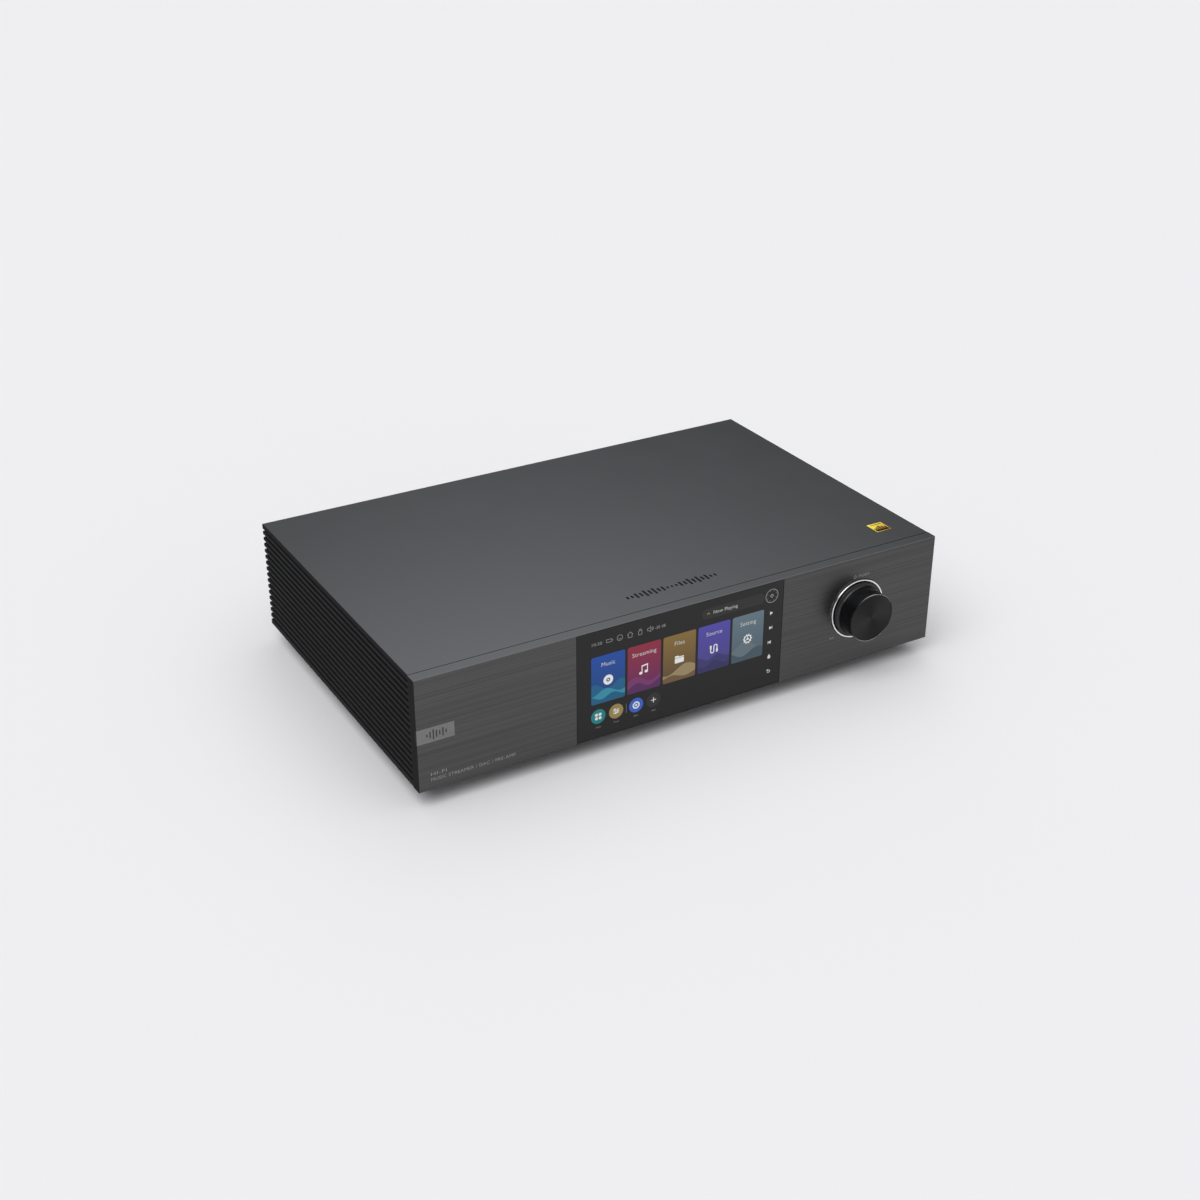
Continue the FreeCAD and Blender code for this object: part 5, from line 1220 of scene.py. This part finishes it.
class PLAYER_OT_playing(bpy.types.Operator):
    """Makes the field that says that music is playing, and the dial beside it"""
    bl_idname = "player.playing"
    bl_label = "Make the playing field"

    def execute(self, context):
        pen = on_panel()
        under = on_panel(223.9, PLAYING_LINE, y=TILE_Y, thick=TILE_THICK)
        field = under.plate(MIDDLE, 48.2, 7.6, 3.7, segments=12)
        shown("playing_field", [field], lit("field_grey", levels(54, 54, 55)))
        caret = [pen.bar((204.7 + side, 67.2), (204.7, 68.1), 0.35) for side in (-1.0, 1.0)]
        shown("playing_caret", caret, lit("caret_yellow", levels(190, 150, 60)))
        words = pen.words("Now Playing", (208.6, 66.5), 2.5)
        shown("playing_words", [words], lit("playing_white", levels(180, 180, 178)))
        beside = on_panel(KEY_COLUMN, PLAYING_LINE)
        dial = [beside.ring(MIDDLE, 4.9, 0.35, sides=64), beside.ring(MIDDLE, 1.5, 0.4, sides=4)]
        dial += beside.rays(8, 22.5, 3.4, 3.9, 0.22)
        shown("playing_dial", dial, lit("dial_grey", levels(150, 150, 150)))
        return {"FINISHED"}


def play_key(pen):
    """A triangle that points to the right."""
    return [pen.disc(MIDDLE, 1.5, CORNERS, math.pi / 2)]


def skip_key(pen, way):
    """A triangle that points at an upright stroke, to the right with way 1 and to the left with -1."""
    return [pen.disc((-0.2 * way, 0.0), 1.4, CORNERS, way * math.pi / 2),
            pen.bar((1.25 * way, -0.95), (1.25 * way, 0.95), KEY_STROKE)]


def home_key(pen):
    """A house: a triangle on a block."""
    return [pen.disc((0.0, 0.4), 1.55, CORNERS), pen.plate((0.0, -0.8), 1.9, 1.2, 0.15)]


def back_key(pen):
    """An arrow to the left, whose tail turns round below it."""
    tip = (-1.2, 0.5)
    return [pen.bar(tip, (0.4, 0.5), KEY_STROKE),
            pen.arc((0.4, -0.35), 1.02, KEY_STROKE, -90, 180),
            pen.bar((0.4, -1.2), (-0.8, -1.2), KEY_STROKE),
            pen.bar(tip, (-0.5, 1.2), KEY_STROKE),
            pen.bar(tip, (-0.5, -0.2), KEY_STROKE)]


KEYS = (
    # name, height on the panel, what draws it
    ("key_play", 54.9, play_key),
    ("key_next", 44.1, lambda pen: skip_key(pen, 1)),
    ("key_previous", 33.3, lambda pen: skip_key(pen, -1)),
    ("key_home", 22.5, home_key),
    ("key_back", 11.7, back_key),
)


class PLAYER_OT_keys(bpy.types.Operator):
    """Makes the column of play, skip, home and back signs"""
    bl_idname = "player.keys"
    bl_label = "Make the side keys"

    def execute(self, context):
        white = lit("key_white", levels(206, 206, 204))
        for name, height, draw in KEYS:
            shown(name, draw(on_panel(KEY_COLUMN, height)), white)
        return {"FINISHED"}


# ------------------------------------------------------------------ badge, print and label
INKED = {"thick": 2 * INK, "letters": 2 * INK}
BADGE_LEVELS = (2.2, 4.4, 7.0, 5.0, 3.2, 5.8, 2.6)
STAMP_LEVELS = (1.2, 2.4, 4.0, 2.6, 1.4)
LEVEL_PITCH = 2.1


class PLAYER_OT_badge(bpy.types.Operator):
    """Finishes the badge and inlays its row of level bars"""
    bl_idname = "player.badge"
    bl_label = "Make the badge"

    def execute(self, context):
        colour = context.scene.player_case.badge
        dress([(brushed("badge_brushed", colour, (30.0, 30.0, 5200.0), 0.16, (0.3, 0.36)), ["front_badge"])])
        middle = (BADGE_LOW[2] + BADGE_HIGH[2]) / 2
        pen = Pen(across(7.0), middle, BADGE_LOW[1] - INK, **INKED)
        width = 0.9
        bars = []
        for index, height in enumerate(BADGE_LEVELS):
            x, reach = LEVEL_PITCH * index, (height - width) / 2
            bars.append(pen.bar((x, -reach), (x, reach), width))
        shown("badge_level_bars", bars, printed("badge_ink", levels(44, 44, 44)), "black_print")
        return {"FINISHED"}


class PLAYER_OT_print(bpy.types.Operator):
    """Prints what the front panel says: its function, the power sign and the push mark"""
    bl_idname = "player.print"
    bl_label = "Print the front panel"

    def execute(self, context):
        grey = printed("panel_print_grey", levels(142, 142, 140))
        pen = on_panel(y=FRONT - INK, **INKED)
        prints = (
            ("print_kind", [pen.words("HI-FI", (8.3, 9.9), 2.3, 10.4)]),
            ("print_function", [pen.words("MUSIC STREAMER / DAC / PRE-AMP", (8.3, 6.2), 2.2, 57.0)]),
            ("print_push", [pen.words("PUSH", (324.2, 63.0), 2.1, 8.3)]),
            ("print_receiver", [pen.words("IR", (305.0, 21.4), 1.5)]),
            ("print_power_sign", [pen.arc((321.1, 64.1), 1.25, 0.28, 125, 290),
                                  pen.bar((321.1, 64.45), (321.1, 65.5), 0.28)]),
            ("print_receiver_dot", [pen.disc((303.8, 22.2), 0.55, sides=24)]),
        )
        for name, marks in prints:
            shown(name, marks, grey, "badge_silver")
        return {"FINISHED"}


class PLAYER_OT_label(bpy.types.Operator):
    """Finishes the gold label on the lid and stamps its marks"""
    bl_idname = "player.label"
    bl_label = "Make the gold label"

    def execute(self, context):
        dress([(gold_finish(), ["gold_label"])])
        middle_x = (LABEL_LOW[0] + LABEL_HIGH[0]) / 2
        middle_y = (LABEL_LOW[1] + LABEL_HIGH[1]) / 2
        pen = Pen(middle_x, 0.0, 0.0, **INKED)
        foot = -2.6
        bars = []
        for index, height in enumerate(STAMP_LEVELS):
            x = LEVEL_PITCH * (index - 2)
            bars.append(pen.bar((x, foot), (x, foot + height), 1.5))
        for row, width in ((-4.2, 2.4), (4.2, 0.7)):
            bars.append(pen.bar((-4.3, row), (4.3, row), width))
        marks = joined("label_stamp", bars)
        clear()
        marks.select_set(True)
        bpy.context.view_layer.objects.active = marks
        marks.rotation_euler = (-math.pi / 2, 0, 0)
        marks.location = (0, middle_y, LABEL_HIGH[2] + INK)
        settled("label_stamp")
        placed(marks, CHASSIS, "black_print", printed("label_ink", levels(20, 13, 3), 0.1))
        return {"FINISHED"}


REAR_WORDS = (
    # words, connectors' middle, height above the floor, in millimetres
    ("BALANCED IN", 47.0, 81.2), ("BALANCED OUT", 123.0, 81.2),
    ("L", 28.0, 45.0), ("R", 66.0, 45.0), ("L", 104.0, 45.0), ("R", 142.0, 45.0),
    ("ANALOG IN", 47.0, 17.4), ("ANALOG OUT", 123.0, 17.4),
    ("COAXIAL", -23.0, 17.4), ("OPTICAL", -32.0, 67.6), ("DATA", -67.0, 67.6), ("NETWORK", -96.0, 71.5),
    ("VIDEO / AUDIO", -77.0, 19.8), ("DEVICE", -49.0, 19.8), ("TRIGGER", -115.0, 20.6),
    ("ANTENNA", -120.0, 76.2), ("ANTENNA", -8.0, 76.2), ("AC IN", -136.0, 62.0), ("POWER", -137.5, 25.4),
)
REAR_RULES = (
    # left end, right end, height
    (14.0, 80.0, 79.6), (90.0, 156.0, 79.6), (14.0, 80.0, 20.6), (90.0, 156.0, 20.6),
)


class PLAYER_OT_rear_print(bpy.types.Operator):
    """Prints the plain names of the connectors on the rear panel"""
    bl_idname = "player.rear_print"
    bl_label = "Print the rear panel"

    def execute(self, context):
        writer = Pen(0.0, 0.0, REAR_HIGH[1] + INK, **INKED)
        ruler = Pen(0.0, 0.0, REAR_HIGH[1] - INK, **INKED)
        marks = [writer.words(text, (x, height), 1.7, align="CENTER", turn=FACING_REAR)
                 for text, x, height in REAR_WORDS]
        for left, right, height in REAR_RULES:
            marks.append(ruler.plate(((left + right) / 2, height), right - left, 0.3))
        shown("rear_words", marks, printed("rear_print_white", levels(206, 206, 204)), "ring_white")
        return {"FINISHED"}


# ------------------------------------------------------------------ stage
GLOWS = (
    # degrees turned from straight behind, degrees raised, tightness, brightness
    (28, 36, 25.0, 1.1),
    (165, 30, 6.0, 0.5),
)
SKY = (
    # height, brightness
    (0.0, 0.84), (0.17, 0.84), (0.28, 0.12), (0.5, 0.14), (0.75, 0.78), (1.0, 0.96),
)
SKY_TINT = (1.0, 1.0, 1.01, 1.0)
SUN_STRENGTH = 1.42
SUN_SPREAD = math.radians(50)
SUN_PLACE = (-1.6, -0.9, 2.6)
FLOOR_SIZE = 40
FLOOR_THICK = 0.02
CLIP_START = 0.01


def studio_sky():
    """A studio sky: as pale as the floor at the horizon, dim above it, bright overhead, with soft glows."""
    world = bpy.data.worlds.new("studio")
    bpy.context.scene.world = world
    world.use_nodes = True
    tree = world.node_tree
    ground = tree.nodes["Background"]
    view = add(tree, "ShaderNodeTexCoord").outputs["Generated"]
    ramp = add(tree, "ShaderNodeValToRGB", Fac=axes(tree, view)["Z"])
    while len(ramp.color_ramp.elements) < len(SKY):
        ramp.color_ramp.elements.new(0.5)
    for element, (height, bright) in zip(ramp.color_ramp.elements, SKY):
        element.position = height
        element.color = (bright, bright, bright, 1.0)
    total = ramp.outputs["Color"]
    for turn, rise, tightness, bright in GLOWS:
        turn, rise = math.radians(turn), math.radians(rise)
        aim = (math.sin(turn) * math.cos(rise), math.cos(turn) * math.cos(rise), math.sin(rise))
        toward = vector_node(tree, "DOT_PRODUCT", view, aim, output="Value")
        glow = math_node(tree, "POWER", math_node(tree, "MAXIMUM", toward, 0.0), tightness)
        total = math_node(tree, "ADD", total, math_node(tree, "MULTIPLY", glow, bright))
    give(tree, ground.inputs["Strength"], total)
    give(tree, ground.inputs["Color"], SKY_TINT)


def soft_sun():
    """A distant soft light, so that the floor is lit evenly."""
    data = bpy.data.lights.new("key_soft", "SUN")
    data.energy = SUN_STRENGTH
    data.angle = SUN_SPREAD
    lamp = bpy.data.objects.new("key_soft", data)
    bpy.context.scene.collection.objects.link(lamp)
    lamp.rotation_euler = (-Vector(SUN_PLACE)).to_track_quat("-Z", "Y").to_euler()


class PLAYER_OT_stage(bpy.types.Operator):
    """Sets up the floor, the soft light and the camera"""
    bl_idname = "player.stage"
    bl_label = "Set up the stage"

    def execute(self, context):
        stage = context.scene.player_stage
        clear()
        bpy.ops.mesh.primitive_plane_add(size=FLOOR_SIZE, location=(0, 0, 0))
        floor = settled("studio_floor")
        edit()
        thicken(FLOOR_THICK, (0, 0, -1))
        done()
        finish = Finish("floor_paper", stage.floor, roughness=0.9, Specular_IOR_Level=0.1)
        floor.data.materials.append(finish.material)
        studio_sky()
        soft_sun()
        data = bpy.data.cameras.new("camera")
        camera = bpy.data.objects.new("camera", data)
        context.scene.collection.objects.link(camera)
        data.lens = stage.lens
        data.clip_start = CLIP_START
        camera.location = stage.place
        camera.rotation_euler = (math.pi / 2 - stage.elevation, 0, stage.azimuth)
        context.scene.camera = camera
        context.scene.view_settings.view_transform = "Standard"
        return {"FINISHED"}


class PLAYER_PT_panel(bpy.types.Panel):
    """Lists the steps that build the player"""
    bl_idname = "PLAYER_PT_panel"
    bl_label = "Network Audio Player"
    bl_space_type = "VIEW_3D"
    bl_region_type = "UI"
    bl_category = "Player"

    def draw(self, context):
        for group in (context.scene.player_case, context.scene.player_knob, context.scene.player_display,
                      context.scene.player_stage):
            for key in group.bl_rna.properties.keys():
                if key not in ("rna_type", "name"):
                    self.layout.prop(group, key)
        for step in STEPS:
            self.layout.operator(step.bl_idname)


SETTINGS = {"player_case": CaseSettings, "player_knob": KnobSettings, "player_display": DisplaySettings,
            "player_stage": StageSettings}
STEPS = (PLAYER_OT_stage, PLAYER_OT_case, PLAYER_OT_rear, PLAYER_OT_insides, PLAYER_OT_knob, PLAYER_OT_ring,
         PLAYER_OT_glass, PLAYER_OT_tiles, PLAYER_OT_icons, PLAYER_OT_shortcuts, PLAYER_OT_status,
         PLAYER_OT_playing, PLAYER_OT_keys, PLAYER_OT_badge, PLAYER_OT_print, PLAYER_OT_label, PLAYER_OT_rear_print)


def register():
    for kind in (*SETTINGS.values(), *STEPS, PLAYER_PT_panel):
        bpy.utils.register_class(kind)
    for name, kind in SETTINGS.items():
        setattr(bpy.types.Scene, name, PointerProperty(type=kind))


def unregister():
    for name in SETTINGS:
        delattr(bpy.types.Scene, name)
    for kind in reversed((*SETTINGS.values(), *STEPS, PLAYER_PT_panel)):
        bpy.utils.unregister_class(kind)


def main():
    register()
    for step in STEPS:
        group, action = step.bl_idname.split(".")
        getattr(getattr(bpy.ops, group), action)()
    clear()


if __name__ == "__main__":
    main()
